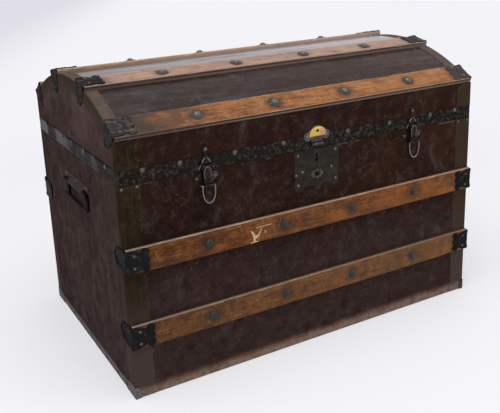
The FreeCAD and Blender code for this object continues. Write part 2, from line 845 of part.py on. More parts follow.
def latches():
    bracket = latch_bracket()
    lever = latch_lever()
    bail = latch_bail()
    keeper, keeper_heads = latch_keeper()
    bracket_head = dome_cap(bracket_rivet_radius, small_rivet_height,
                            (0, latch_plate_back - bracket_thick, lid_rim + bracket_head_rise),
                            (0, -1, 0))
    pins = []
    for side, name in ((-1, "left"), (1, "right")):
        shift = Vec(side * latch_offset, 0, 0)
        for label, shape in (("bracket", bracket), ("lever", lever), ("bail", bail),
                             ("keeper", keeper)):
            write("latch_%s_%s" % (name, label), shape.translated(shift))
        pins.append(latch_pin().translated(shift))
        small_rivets["body"] += [h.translated(shift) for h in keeper_heads]
        small_rivets["lid"].append(bracket_head.translated(shift))
    write("latch_pins", *pins)


# ---- hinges ----
hinge_axis_y = half_d + band_thick + hinge_band_clear + hinge_barrel_radius
hinge_axis_z = seam_height + seam_gap / 2.0
hinge_third = hinge_width / 3.0


def hinge_knuckles(spans, radius):
    return [rod((x0, hinge_axis_y, hinge_axis_z), (1, 0, 0), radius, x1 - x0)
            for x0, x1 in spans]


def hinges():
    half = hinge_width / 2.0
    gap = hinge_knuckle_clear / 2.0
    outer_spans = [(-half, -hinge_third / 2.0 - gap), (hinge_third / 2.0 + gap, half)]
    inner_spans = [(-hinge_third / 2.0 + gap, hinge_third / 2.0 - gap)]
    r = hinge_barrel_radius
    stand = r + hinge_leaf_clear
    t = hinge_leaf_thick
    lower = [box(-half, half, half_d, half_d + t, hinge_axis_z - hinge_leaf_height,
                 hinge_axis_z - stand)]
    for x0, x1 in outer_spans:
        lower.append(box(x0, x1, half_d, hinge_axis_y, hinge_axis_z - stand - t,
                         hinge_axis_z - r + hinge_web_reach))
    lower += hinge_knuckles(outer_spans, r)
    face = half_d + band_thick
    upper = [box(-half, half, face, face + t, hinge_axis_z + stand,
                 hinge_axis_z + hinge_leaf_height)]
    for x0, x1 in inner_spans:
        upper.append(box(x0, x1, face, hinge_axis_y, hinge_axis_z + r - hinge_web_reach,
                         hinge_axis_z + stand + t))
    upper += hinge_knuckles(inner_spans, r)
    through = (-reach / 2.0, hinge_axis_y, hinge_axis_z)
    lower = fused(lower).cut(rod(through, (1, 0, 0), hinge_pin_radius + seat_clear, reach))
    upper = fused(upper).cut(rod(through, (1, 0, 0), hinge_pin_radius + run_clear, reach))
    pin = rod((-half, hinge_axis_y, hinge_axis_z), (1, 0, 0), hinge_pin_radius, hinge_width)
    heads_low = []
    heads_high = []
    far = hinge_leaf_height - hinge_rivet_end
    for x in (-half + hinge_rivet_side, half - hinge_rivet_side):
        for drop in (far - hinge_rivet_pitch, far):
            heads_low.append(dome_cap(small_rivet_radius, small_rivet_height,
                                      (x, half_d + t, hinge_axis_z - drop), (0, 1, 0)))
            heads_high.append(dome_cap(small_rivet_radius, small_rivet_height,
                                       (x, face + t, hinge_axis_z + drop), (0, 1, 0)))
    pins = []
    for side, name in ((-1, "left"), (1, "right")):
        shift = Vec(side * hinge_offset, 0, 0)
        write("hinge_%s_lower_leaf" % name, lower.translated(shift))
        write("hinge_%s_upper_leaf" % name, upper.translated(shift))
        pins.append(pin.translated(shift))
        small_rivets["body"] += [h.translated(shift) for h in heads_low]
        small_rivets["lid"] += [h.translated(shift) for h in heads_high]
    write("hinge_pins", *pins)


# ---- end handles ----
def handles():
    half = handle_span / 2.0
    leg = handle_leg_width
    handle_top = seam_height - handle_top_drop
    plate_low = handle_top - handle_plate_height
    axis_z = plate_low - handle_barrel_radius - side_clear
    axis_x = half_l + handle_face_clear + max(handle_barrel_radius, handle_grip_radius)
    inner = half - leg - side_clear
    t = handle_plate_thick
    backing = [box(half_l, half_l + t, -half, half, plate_low, handle_top),
               box(half_l, axis_x, -inner, inner, axis_z + handle_web_rise,
                   plate_low + t),
               rod((axis_x, -inner, axis_z), (0, 1, 0), handle_barrel_radius, 2.0 * inner)]
    bore = rod((axis_x, -reach / 2.0, axis_z), (0, 1, 0), handle_axle_radius + run_clear, reach)
    grip_z = axis_z - handle_drop
    thick = handle_leg_thick / 2.0
    bail = [rod((axis_x, -half, axis_z), (0, 1, 0), handle_axle_radius, handle_span)]
    for side in (-1, 1):
        y0 = side * (half - leg / 2.0) - leg / 2.0
        bail.append(box(axis_x - thick, axis_x + thick, y0, y0 + leg, grip_z, axis_z))
        bail.append(rod((axis_x, y0, axis_z), (0, 1, 0), handle_hub_radius, leg))
    bail.append(rod((axis_x, -half, grip_z), (0, 1, 0), handle_grip_radius, handle_span))
    carrier = fused(backing).cut(bore)
    loop = fused(bail)
    far = half - handle_rivet_inset
    head_z = (plate_low + handle_top) / 2.0 + handle_rivet_rise
    heads = [dome_cap(small_rivet_radius, small_rivet_height, (half_l + t, y, head_z),
                      (1, 0, 0)) for y in (-far, 0, far)]
    write("handle_right_plate", carrier)
    write("handle_left_plate", mirrored_x(carrier))
    write("handle_right_bail", loop)
    write("handle_left_bail", mirrored_x(loop))
    small_rivets["body"] += heads + [mirrored_x(h) for h in heads]
    print("handle axis x %.3f z %.3f" % (axis_x, axis_z))


def main():
    os.makedirs("parts", exist_ok=True)
    box_boards()
    box_canvas()
    box_lining()
    write("body_corner_bindings", *four_corners(body_binding()))
    write("corner_shoes", *four_corners(corner_shoe()))
    strip = end_strip()
    write("bottom_end_strips", strip, mirrored_x(strip))
    lid_boards()
    lid_staves()
    outer = lid_canvas()
    lid_lining()
    binding = lid_binding(outer)
    write("lid_right_edge_binding", binding)
    write("lid_left_edge_binding", mirrored_x(binding))
    write("rim_band", rim_band())
    write("rim_tacks", *rim_tacks())
    slat_set(outer, [binding, mirrored_x(binding)])
    slat_rivets()
    lid_studs()
    cap_rivets()
    lock_plate()
    keyhole_boss()
    lock_works()
    lock_rivets()
    binding_rivets()
    hasp_plate()
    latches()
    hinges()
    handles()
    write("body_small_rivets", *small_rivets["body"])
    write("lid_small_rivets", *small_rivets["lid"])
    print("dome radius %.3f centre %.3f crown %.1f" % (dome_radius, dome_centre, crown_height))
    print("hinge axis y %.3f z %.3f" % (hinge_axis_y, hinge_axis_z))
    print("latch axis y %.3f z %.3f" % (latch_axis_y, latch_height))
    print("bail axis y %.3f z %.3f" % (bail_axis_y, bail_height))


main()
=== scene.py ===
from math import asin, copysign, cos, degrees, exp, hypot, pi, radians, sin, sqrt, tau
import bmesh
import bpy
from mathutils import Matrix, Vector, noise


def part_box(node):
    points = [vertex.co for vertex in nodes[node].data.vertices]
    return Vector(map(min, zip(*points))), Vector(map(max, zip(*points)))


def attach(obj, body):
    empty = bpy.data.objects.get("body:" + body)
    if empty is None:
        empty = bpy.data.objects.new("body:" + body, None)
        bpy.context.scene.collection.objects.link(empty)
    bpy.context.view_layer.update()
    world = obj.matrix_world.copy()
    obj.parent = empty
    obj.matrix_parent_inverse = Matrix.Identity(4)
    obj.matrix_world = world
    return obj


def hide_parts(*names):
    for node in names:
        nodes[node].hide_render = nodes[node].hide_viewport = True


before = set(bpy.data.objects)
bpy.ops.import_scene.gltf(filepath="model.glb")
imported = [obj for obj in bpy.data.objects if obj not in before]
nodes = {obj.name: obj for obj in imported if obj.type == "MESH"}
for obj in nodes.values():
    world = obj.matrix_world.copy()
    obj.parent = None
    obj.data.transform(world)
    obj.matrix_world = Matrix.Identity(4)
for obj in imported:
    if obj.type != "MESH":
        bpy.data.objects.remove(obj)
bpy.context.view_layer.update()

print("frame loaded,", len(nodes), "nodes")


# shader helpers
def sums(operation, flip=False):
    return lambda wire, other: wire.op(operation, other, flip=flip)


class Wire:  # a socket that takes part in sums
    def __init__(self, bench, socket):
        self.bench = bench
        self.socket = socket

    def op(self, operation, *others, flip=False, clamp=False):
        terms = [self, *others]
        if flip:
            terms.reverse()
        return self.bench.add("ShaderNodeMath", {"operation": operation, "use_clamp": clamp},
                              dict(enumerate(terms)))

    __add__ = __radd__ = sums("ADD")
    __mul__ = __rmul__ = sums("MULTIPLY")
    __sub__ = sums("SUBTRACT")
    __rsub__ = sums("SUBTRACT", flip=True)
    __truediv__ = sums("DIVIDE")
    __rtruediv__ = sums("DIVIDE", flip=True)
    most = sums("MAXIMUM")

    def __abs__(self):
        return self.op("ABSOLUTE")

    def clip(self):
        return self.op("ADD", 0.0, clamp=True)

    def sine(self):
        return self.op("SINE")

    def ease(self, low, high):  # a smooth step up, or down where low is the higher value
        return self.bench.add("ShaderNodeMapRange", {"interpolation_type": "SMOOTHSTEP"},
                              {0: self, 1: low, 2: high})


class Bench:  # one material on the workbench, or the node tree handed to it
    def __init__(self, name=None, look=None, tree=None):
        if name:
            self.mat = bpy.data.materials.new(name)
            self.mat.use_nodes = True
            tree = self.mat.node_tree
        tree.nodes.clear()
        self.tree = tree
        self.look = look  # named colours
        self.at = None  # where patterns are read, if not at the object's own coordinates

    def add(self, kind, settings=None, inputs=None, out=0):
        node = self.tree.nodes.new(kind)
        for key, value in (settings or {}).items():
            if key == "stops":
                elements = node.color_ramp.elements
                while len(elements) < len(value):
                    elements.new(0.5)
                for element, (place, shade) in zip(elements, value):
                    element.position = place
                    element.color = (*self.look[shade], 1.0)
            else:
                setattr(node, key, value)
        for key, value in (inputs or {}).items():
            socket = node.inputs[key]
            if isinstance(value, Wire):
                self.tree.links.new(value.socket, socket)
                continue
            if isinstance(value, str):
                value = self.look[value]
            socket.default_value = (*value, 1.0) if socket.type == "RGBA" else value
        return Wire(self, node.outputs[out]) if node.outputs else None

    def here(self):  # the object's own coordinates, in metres, the same at every pose
        return self.add("ShaderNodeTexCoord", out="Object")

    def lay(self):  # along, across and a seed, stored with the mesh
        return self.add("ShaderNodeAttribute", {"attribute_name": "lay"}, out="Vector")

    def axes(self, at=None):
        split = self.add("ShaderNodeSeparateXYZ", {}, {0: at or self.here()}).socket.node
        return [Wire(self, socket) for socket in split.outputs]

    def spot(self, scale, shift, at):
        at = at or self.at or self.here()
        return self.add("ShaderNodeMapping", {}, {0: at, 1: shift, 3: scale}) if scale else at

    def cloud(self, size, scale=None, detail=4, rough=0.55, warp=0, shift=(0, 0, 0), at=None):
        return self.add("ShaderNodeTexNoise", {}, {
            "Vector": self.spot(scale, shift, at), "Scale": 1.0 / size, "Detail": detail,
            "Roughness": rough, "Distortion": warp})

    def cells(self, size, scale=None, feature="F1"):
        return self.add("ShaderNodeTexVoronoi", {"feature": feature}, {
            "Vector": self.spot(scale, (0, 0, 0), None), "Scale": 1.0 / size})

    def blend(self, factor, first, second, mode="MIX"):
        return self.add("ShaderNodeMix", {"data_type": "RGBA", "blend_type": mode},
                        {0: factor, 6: first, 7: second}, out=2)

    def over(self, factor, shade, mode="MIX"):  # one more coat on the tone so far
        self.tone = self.blend(factor, self.tone, shade, mode)

    def ramp(self, value, *stops):
        return self.add("ShaderNodeValToRGB", {"stops": stops}, {0: value})

    def bump(self, height, depth, strength, under=None):
        inputs = {"Height": height, "Distance": depth, "Strength": strength}
        if under:
            inputs["Normal"] = under
        return self.add("ShaderNodeBump", {}, inputs)

    def finish(self, inputs):
        shader = self.add("ShaderNodeBsdfPrincipled", {}, {"Base Color": self.tone, **inputs})
        self.add("ShaderNodeOutputMaterial", {}, {"Surface": shader})
        return self.mat


def dress(names, material):
    for name in names:
        data = nodes[name].data
        data.materials.clear()
        data.materials.append(finish[material])


# shape helpers
def spaced(first, last, count):
    return [first + (last - first) * i / count for i in range(count + 1)]


def spokes(count):
    return [tau * k / count for k in range(count)]


def hump(x, wide):
    return exp(-(x / wide) ** 2)


def wander(x, y=0.0, z=0.0, size=1.0):  # smooth noise from -1 to 1
    return noise.noise(Vector((x / size, y / size, z / size)))


def moved(place, x, y, z):
    return place @ Matrix.Translation((x, y, z))


def stand(origin, across, outward):  # local x across, y up the face, z out of it
    w = Vector(outward).normalized()
    u = Vector(across).normalized()
    return Matrix.Translation(origin) @ Matrix((u, w.cross(u), w)).transposed().to_4x4()


def arc(x, y, radius, first, last, count=16):  # degrees
    return [(x + radius * cos(a), y + radius * sin(a))
            for a in map(radians, spaced(first, last, count))]


def flow(points, steps, z=0.0):  # a smooth line through the given points
    knots = [Vector((*p, z)[:3]) for p in points]
    knots = knots[:1] + knots + knots[-1:]
    line = []
    for a, b, c, d in zip(knots, knots[1:], knots[2:], knots[3:]):
        for t in spaced(0, 1, steps)[:-1]:
            line.append(0.5 * (2 * b + (c - a) * t + (2 * a - 5 * b + 4 * c - d) * t * t
                               + (3 * b - a - 3 * c + d) * t ** 3))
    return line + [knots[-1]]


def inPlane(points):
    return [(p.x, p.y) for p in points]


def mirrored(right):  # an outline from its right half, which starts or ends on the middle
    return right + [(-x, y) for x, y in reversed(right) if x > 1e-6]


def swell(radius, low, high):  # for a wire that is thickest halfway
    return lambda t: radius * (low + high * sin(pi * t))


def linked(name, data):
    made = bpy.data.objects.new(name, data)
    bpy.context.scene.collection.objects.link(made)
    return made


class Stock:  # gathers the mesh of one piece
    def __init__(self):
        self.points = []
        self.faces = []
        self.lay = []

    def grid(self, rows, lay=None, loopRows=False, loopCols=False):
        base, n, m = len(self.points), len(rows), len(rows[0])
        self.points += sum(rows, [])
        self.lay += sum(lay or [], [])
        for i in range(n if loopRows else n - 1):
            here, after = base + i * m, base + (i + 1) % n * m
            for j in range(m if loopCols else m - 1):
                beside = (j + 1) % m
                self.faces.append((here + j, here + beside, after + beside, after + j))

    def turned(self, profile, place, sides=24, petals=0, ripple=0.0):
        rows = []
        for radius, height in profile:
            ring = [(a, radius * (1.0 + ripple * cos(petals * a))) for a in spokes(sides)]
            rows.append([place @ Vector((r * cos(a), r * sin(a), height)) for a, r in ring])
        self.grid(rows, loopCols=True)

    def plate(self, outlines, thick, bevel, place):  # standing on the plane of place
        curve = bpy.data.curves.new("cut", "CURVE")
        curve.dimensions = "2D"
        curve.fill_mode = "BOTH"
        curve.extrude = thick / 2 - bevel
        curve.bevel_depth = bevel
        curve.bevel_resolution = 2
        curve.offset = -bevel
        for outline in outlines:
            spline = curve.splines.new("POLY")
            spline.points.add(len(outline) - 1)
            for point, (x, y) in zip(spline.points, outline):
                point.co = (x, y, 0, 1)
            spline.use_cyclic_u = True
        holder = linked("cut", curve)
        shaped = holder.evaluated_get(bpy.context.evaluated_depsgraph_get())
        mesh = bpy.data.meshes.new_from_object(shaped)
        base = len(self.points)
        raised = moved(place, 0, 0, thick / 2)
        self.points += [raised @ v.co for v in mesh.vertices]
        self.faces += [tuple(base + i for i in f.vertices) for f in mesh.polygons]
        bpy.data.objects.remove(holder)
        bpy.data.curves.remove(curve)
        bpy.data.meshes.remove(mesh)

    def tube(self, path, radius, sides=12, place=Matrix()):
        path = [place @ Vector(p) for p in path]
        rows = [[path[0]] * sides]
        side = None
        for i, p in enumerate(path):
            along = (path[min(i + 1, len(path) - 1)] - path[max(i - 1, 0)]).normalized()
            side = along.orthogonal() if side is None else side
            side = (side - along * side.dot(along)).normalized()
            other = along.cross(side)
            r = radius(i / (len(path) - 1)) if callable(radius) else radius
            rows.append([p + (side * cos(a) + other * sin(a)) * r for a in spokes(sides)])
        self.grid(rows + [[path[-1]] * sides], loopCols=True)

    def make(self, name, material, body, slot, replaced=(), sharp=38):
        mesh = bpy.data.meshes.new(name)
        mesh.from_pydata(self.points, [], self.faces)
        if self.lay:
            lay = mesh.attributes.new("lay", "FLOAT_VECTOR", "POINT")
            lay.data.foreach_set("vector", [part for mark in self.lay for part in mark])
        form = bmesh.new()
        form.from_mesh(mesh)
        bmesh.ops.remove_doubles(form, verts=form.verts, dist=1e-6)
        bmesh.ops.dissolve_degenerate(form, edges=form.edges, dist=1e-7)
        bmesh.ops.recalc_face_normals(form, faces=form.faces)
        form.to_mesh(mesh)
        form.free()
        mesh.shade_smooth()
        mesh.set_sharp_from_angle(angle=radians(sharp))
        mesh.materials.append(finish[material])
        piece = linked(name, mesh)
        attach(piece, body)
        if replaced:
            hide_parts(*replaced)


# the trunk's own sizes, from the frame
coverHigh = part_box("body_canvas")[1]
lidLow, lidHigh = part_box("lid_canvas")
halfL, halfD = coverHigh.x, coverHigh.y
boxRim, lidRim, crown = coverHigh.z, lidLow.z, lidHigh.z
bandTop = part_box("rim_band")[1].z
lip = lidRim + 0.075
rise = crown - lip
domeR = (halfD ** 2 + rise ** 2) / (2 * rise)
domeZ = crown - domeR
slatWide, slatThick = 0.048, 0.009
sideAngle = asin(halfD / domeR) - (0.003 + slatWide / 2) / domeR
crownAngle = asin(0.0825 / domeR)
upperSlat, lowerSlat = boxRim - 0.138, 0.127
columns = [-0.243, -0.081, 0.081, 0.243]
latchX = halfL - 0.165
ends = ((1, "right"), (-1, "left"))


def onFront(x, z, lift=0.0):
    return stand((x, -halfD - lift, z), (1, 0, 0), (0, -1, 0))


def onBack(x, z, lift=0.0):
    return stand((x, halfD + lift, z), (-1, 0, 0), (0, 1, 0))


def onEnd(side, y, z, lift=0.0):
    return stand((side * (halfL + lift), y, z), (0, side, 0), (side, 0, 0))


def onDome(angle):
    out = Vector((0, sin(angle), cos(angle)))
    return stand(Vector((0, 0, domeZ)) + out * domeR, (1, 0, 0), out)


def lidLine(offset, low, walls, dome):  # the lid's outline from front rim to back rim
    side, radius = halfD + offset, domeR + offset
    shoulder = domeZ + sqrt(radius ** 2 - side ** 2)
    angle = asin(side / radius)
    front = [(-side, z) for z in spaced(low, shoulder, walls)[:-1]]
    over = [(radius * sin(a), domeZ + radius * cos(a)) for a in spaced(-angle, angle, dome)]
    return front + over + [(-y, z) for y, z in reversed(front)]


slatPlaces = {
    "body_slat_front_upper": onFront(0, upperSlat),
    "body_slat_front_lower": onFront(0, lowerSlat),
    "body_slat_back_upper": onBack(0, upperSlat),
    "lid_slat_front_lower": onDome(-sideAngle),
    "lid_slat_front_upper": onDome(-crownAngle),
    "lid_slat_back_upper": onDome(crownAngle),
    "lid_slat_back_lower": onDome(sideAngle),
}


# finishes: each look names its colours
coverLook = dict(
    deep=(0.0165, 0.0078, 0.0066), warm=(0.0245, 0.011, 0.0074), rust=(0.04, 0.0165, 0.0088),
    mottle=(0.062, 0.042, 0.04), lowMauve=(0.0365, 0.0215, 0.0205),
    # the two end mauves are painted light: lighter, greyer copies of the cover's colour for the end
    # faces, the upper one also painted sheen on the lid's ends
    endMauve=(0.05, 0.0315, 0.0305), lidMauve=(0.082, 0.051, 0.049),
    endDusk=(0.024, 0.0155, 0.0145), endHaze=(0.092, 0.064, 0.063),
    # crown: partly rubbed wear, partly painted reflection on the crown of the lid
    smear=(0.105, 0.083, 0.086), crown=(0.26, 0.215, 0.228), speck=(0.22, 0.18, 0.155),
    scuff=(0.12, 0.085, 0.072), foot=(0.24, 0.13, 0.085), kicked=(0.228, 0.164, 0.132),
    wornEdge=(0.2, 0.155, 0.135), soot=(0.007, 0.0045, 0.0042))


def paintedCanvas():
    bench = Bench("paintedCanvas", coverLook)
    cloud, blend, over = bench.cloud, bench.blend, bench.over
    x, y, z = bench.axes()
    broad = cloud(0.13, detail=5, rough=0.62, warp=0.5)
    mottle = cloud(0.017, detail=6, rough=0.7)
    fine = cloud(0.0036, detail=3)
    onTop = z.ease(lip + 0.004, lip + 0.03)
    onEnds = abs(x).ease(halfL - 0.004, halfL - 0.0008)
    crest = abs(y).ease(0.074, 0.056) * onTop * (1 - onEnds)
    onWall = abs(y).ease(halfD - 0.003, halfD - 0.001)
    bench.tone = blend(broad.ease(0.36, 0.66), "deep", "warm")
    redder = (z.ease(0.24, 0.36) * (0.3 + x * 1.2)).clip() * (0.45 + broad)
    over((redder * 0.75).clip(), "rust")
    over((z + (broad - 0.5) * 0.08).ease(0.29, 0.16) * 0.85, "lowMauve")
    # painted light: the end faces take a lighter, greyer copy of the cover's colour for the light
    # falling on them, lighter still on the lid as painted sheen
    grey = blend((z + (broad - 0.5) * 0.06).ease(0.4, 0.5), "endMauve", "lidMauve")
    over(onEnds * 0.92, blend(broad.ease(0.4, 0.62) * 0.55, grey, "endDusk"))
    hazy = cloud(0.034, (1, 1, 0.72), 6, 0.66, 0.5, shift=(4, 0, 1))
    over(onEnds * hazy.ease(0.48, 0.66) * 0.38, "endHaze")
    over(onEnds * hazy.ease(0.48, 0.34) * 0.3, "endDusk")
    over(mottle.ease(0.48, 0.7) * 0.42, "mottle")
    over(fine.ease(0.54, 0.74) * 0.32, "mottle")
    over(mottle.ease(0.47, 0.34) * 0.35 * (1 - onTop), "soot")
    drag = cloud(0.017, (0.1, 1, 1), 5, 0.6, 1.2)
    # partly dust and rubbed wear, partly painted reflection: the top is painted lighter in place of
    # some of the coat's sheen, most of all on the crown between the upper slats and towards the
    # right
    over(drag.ease(0.45, 0.72) * (onTop * (1 - onEnds) * 0.3 + crest * 0.4), "smear")
    worn = crest * (0.72 + x * 1.4).clip() * drag.ease(0.28, 0.52)
    over(worn * 0.95, "crown")
    rubbed = cloud(0.042, (1, 1, 0.6), 5, warp=0.8)
    over(rubbed.ease(0.58, 0.8) * 0.26, "smear")
    dark = cloud(0.026, (0.8, 1, 1.2), 6, shift=(3, 1, 2))
    over(dark.ease(0.54, 0.74) * (0.5 - onEnds * 0.34), "soot")
    line = abs(cloud(0.085, (0.8, 1, 0.8), 1.2, warp=0.6, shift=(5, 0, 0)) - 0.5)
    few = cloud(0.045, (1, 1, 1), shift=(9, 4, 1)).ease(0.55, 0.66)
    over(line.ease(0.004, 0) * few * 0.3, "scuff")
    some = cloud(0.026, (1, 1, 1), shift=(1, 7, 3)).ease(0.5, 0.64)
    over(bench.cells(0.009).ease(0.16, 0.07) * some * 0.5, "speck")
    high = z - 0.0125 - cloud(0.05, (1, 1, 0.2), 6, 0.7) * 0.012 - x * 0.005
    patchy = 0.36 + mottle.ease(0.34, 0.56) * 0.32 + fine.ease(0.36, 0.62) * 0.26
    over(high.ease(0.008, -0.01) * onWall * patchy,
         blend(high.ease(-0.002, -0.01), "foot", "kicked"))
    rimLine = abs(z - boxRim + 0.0025).ease(0.002, 0.0006) * onWall
    rimSome = cloud(0.06, (1, 1, 0.1), shift=(2, 0, 0)).ease(0.53, 0.62)
    over(rimLine * rimSome * 0.4, "wornEdge")
    pitch = tau / 0.0013
    weave = (x * pitch).sine() + (y * pitch).sine() + (z * pitch).sine()
    cloth = bench.bump(weave, 0.00003, 0.6)
    paint = bench.bump(mottle + fine * 0.35, 0.0007, 0.65, cloth)
    gloss = onTop * 0.33 + crest * (0.36 + worn * 0.62) + rubbed.ease(0.5, 0.72) * 0.1
    return bench.finish({"Specular IOR Level": 0.0, "Coat Roughness": 0.27, "Coat IOR": 1.65,
                         "Roughness": (0.44 + mottle * 0.22 + onEnds * 0.08 - onTop * 0.06).clip(),
                         "Coat Weight": (gloss * (1 - onEnds * 0.9)).clip(),
                         "Normal": bench.bump(broad, 0.006, 0.5, paint)})


oakLook = {
    "lidOak": dict(
        dark=(0.085, 0.026, 0.008), mid=(0.245, 0.09, 0.028), light=(0.42, 0.185, 0.07),
        stain=(0.026, 0.017, 0.013), edge=(0.36, 0.22, 0.125), pale=(0.52, 0.33, 0.19),
        # the light colour of the slat sides is a painted highlight and the gap colour a painted
        # shade line
        sill=(0.185, 0.13, 0.112), gap=(0.024, 0.012, 0.007), ember=(0.27, 0.088, 0.03),
        straw=(0.52, 0.27, 0.1), smudge=(0.08, 0.038, 0.022), stainAmount=0.62, coat=0.22,
        ends=(0.344, 0.362, 0.85), edgeWearAndHighlight=0.7, hatch=0.45),
    "boxOak": dict(
        dark=(0.036, 0.011, 0.0035), mid=(0.12, 0.039, 0.011), light=(0.265, 0.102, 0.033),
        stain=(0.02, 0.012, 0.009), edge=(0.34, 0.26, 0.215), pale=(0.6, 0.42, 0.25),
        right=(0.34, 0.15, 0.05), olive=(0.08, 0.049, 0.024), plum=(0.04, 0.014, 0.01),
        ember=(0.29, 0.092, 0.024), straw=(0.33, 0.15, 0.055), redden=(1.0, 0.88, 0.66),
        stainAmount=0.6, coat=0.06, ends=(0.35, 0.368, 0.6), edgeWearAndHighlight=0.85, hatch=0.66,
        flakes=((-0.006, 0.006, 0.0024, 0.0078, -0.57), (0.0085, 0.006, 0.0018, 0.0088, 0.56),
                (-0.0035, -0.005, 0.002, 0.0065, 0.1), (-0.003, -0.011, 0.01, 0.0017, 0.0),
                (0.0, -0.001, 0.0046, 0.0036, 0.3))),
}


def oakFinish(name):
    look = oakLook[name]
    bench = Bench(name, look)
    cloud, over = bench.cloud, bench.over
    bench.at = bench.lay()
    along, across, seed = bench.axes(bench.at)
    rings = cloud(0.0075, (0.05, 1, 7.3), 6, 0.62, 0.9)
    pores = cloud(0.001, (0.035, 1, 3.1), 2)
    figure = cloud(0.06, (0.45, 1, 5.7), 3, warp=0.6)
    bench.tone = bench.ramp(rings * 0.72 + figure * 0.28,
                            (0.3, "dark"), (0.48, "mid"), (0.7, "light"))
    lines = cloud(0.0021, (0.05, 1, 5.3), 4, 0.6, 0.4)
    over(lines.ease(0.5, 0.66) * 0.55, "dark")
    over(lines.ease(0.48, 0.36) * 0.42, "straw")
    hatch = cloud(0.0042, (0.62, 1, 2.9), 6, 0.75, 0.6)
    over(hatch.ease(0.51, 0.64) * look["hatch"], "dark")
    over(hatch.ease(0.49, 0.36) * look["hatch"] * 0.8, "light")
    cloudy = cloud(0.022, (0.5, 1, 8.7), 5, 0.7)
    over(cloudy.ease(0.5, 0.66) * 0.55, "dark")
    over(cloudy.ease(0.49, 0.36) * 0.3, "light")
    sawn = cloud(0.003, (1, 0.16, 4.7), 4, 0.65)
    over(sawn.ease(0.52, 0.72) * look["hatch"] * 0.42, "light")
    over(sawn.ease(0.48, 0.3) * look["hatch"] * 0.45, "dark")
    over(pores.ease(0.53, 0.7) * 0.55, "dark")
    over(cloud(0.0036, (0.3, 1, 9.1), 3).ease(0.6, 0.74) * 0.4, "light")
    aged = cloud(0.032, (0.6, 1, 4.4), 5, 0.65)
    over(aged.ease(0.52, 0.7) * 0.45, "stain")
    fold = abs(abs(abs(along) - 0.162) - 0.081)  # from the nearest column of heads
    away = (fold * fold * 0.55 + across * across).op("SQRT") + (aged - 0.5) * 0.02
    over(away.ease(0.021, 0.008) * look["stainAmount"], "stain")
    first, last, amount = look["ends"]
    over((abs(along) + (aged - 0.5) * 0.05).ease(first, last) * amount, "stain")
    chip = cloud(0.009, (0.35, 1, 2.2), 4, 0.7)
    rim = across + (chip - 0.5) * 0.003
    # the arris colour is partly rubbed wear, partly painted highlight
    edge = rim.ease(0.0218, 0.0236)
    if name == "boxOak":  # painted shade on the slat's underside and on the inner half of its top face, next to the wall; only the outer half of the top face is rubbed pale
        over(rim.ease(-0.0205, -0.0235) * 0.7, "stain")
        over(across.ease(0.0262, 0.0282) * 0.7, "stain")
    else:  # a rubbed arris, painted shade on the lower side with a darker painted shade line just under the arris, and a painted highlight on the sides
        over(rim.ease(-0.019, -0.0222) * 0.35, "stain")
        over(across.ease(-0.0238, -0.0248) * 0.92, "gap")
        over(abs(across).ease(0.0284, 0.0298) * (0.88 - along.ease(-0.1, -0.34) * 0.45), "sill")
        edge = edge.most(rim.ease(-0.0216, -0.0226) * across.ease(-0.0246, -0.0238) * 0.9)
    edge = edge * across.ease(0.0294, 0.0272)
    over(edge * look["edgeWearAndHighlight"], "edge")
    over(edge * chip.ease(0.53, 0.64) * 0.65, "pale")
    nick = abs(cloud(0.03, (1.6, 0.35, 8), 1, warp=0.6) - 0.5).ease(0.006, 0)
    over(nick * cloud(0.028, (1, 1, 6)).ease(0.55, 0.62) * 0.75, "pale")
    face = abs(across).ease(0.0228, 0.0216)
    if name == "boxOak":  # paler to the right; a scrape and a scratch on the upper front slat
        over(along.ease(-0.36, 0.4) * 0.22, "right")
        over(along.ease(-0.02, -0.3) * 0.2, "stain")
        over(seed.op("COMPARE", 2, 0.1) * (along * 0.45 + 0.34), "olive")
        worn = cloud(0.016, (0.8, 0.6, 5.3), 4, 0.6)
        over(worn.ease(0.52, 0.7) * face * 0.38, "plum")
        over(worn.ease(0.47, 0.34) * face * (0.36 + along * 0.5), "ember")
        here = seed.op("COMPARE", 1, 0.1)
        over(here * face * figure.ease(0.6, 0.42), "redden", "MULTIPLY")
        over(here * face * figure.ease(0.5, 0.62) * 0.4, "plum")
        torn = cloud(0.005, (1, 0.7, 6.1), 4, 0.7)
        dx, dy = along + 0.146 + (torn - 0.5) * 0.01, across + 0.01 + (torn - 0.5) * 0.006
        scrape = 0.0
        for midX, midY, wide, tall, lean in look["flakes"]:
            u, v = (dx - midX - (dy - midY) * lean) / wide, (dy - midY) / tall
            scrape = (u * u + v * v).ease(1.15, 0.75).most(scrape)
        over(scrape * torn.ease(0.3, 0.4) * here * 0.85, "pale")
        line = abs(across - 0.01 - along * 0.02).ease(0.0011, 0.0003)
        over(line * abs(along + 0.128).ease(0.019, 0.015) * here * 0.8, "pale")
    else:  # the lower front one is smudged towards its left end
        here = seed.op("COMPARE", 4, 0.1)
        smudged = (aged * 0.13 - along).ease(0.275, 0.325) * across.ease(-0.0256, -0.024) * here
        over(smudged * cloudy.ease(0.28, 0.52) * 0.85, "smudge")
        over(smudged * cloudy.ease(0.48, 0.38) * 0.35, "ember")
        over((aged * 0.05 - along).ease(0.325, 0.365) * here * face * 0.7, "stain")
        over(along.ease(0.02, 0.3) * here * face * 0.22, "light")
    high = bench.axes(bench.here())[2].ease(lip + 0.045, lip + 0.06)
    coat = (look["coat"] + high * 0.75) * (1 - aged.ease(0.55, 0.75) * 0.5)
    return bench.finish({"Specular IOR Level": 0.05, "Coat Roughness": 0.28, "Coat IOR": 1.6,
                         "Roughness": (0.36 + aged * 0.22 + pores * 0.08).clip(),
                         "Coat Weight": coat.clip(),
                         "Normal": bench.bump(rings + pores * 0.6, 0.0005, 0.6)})


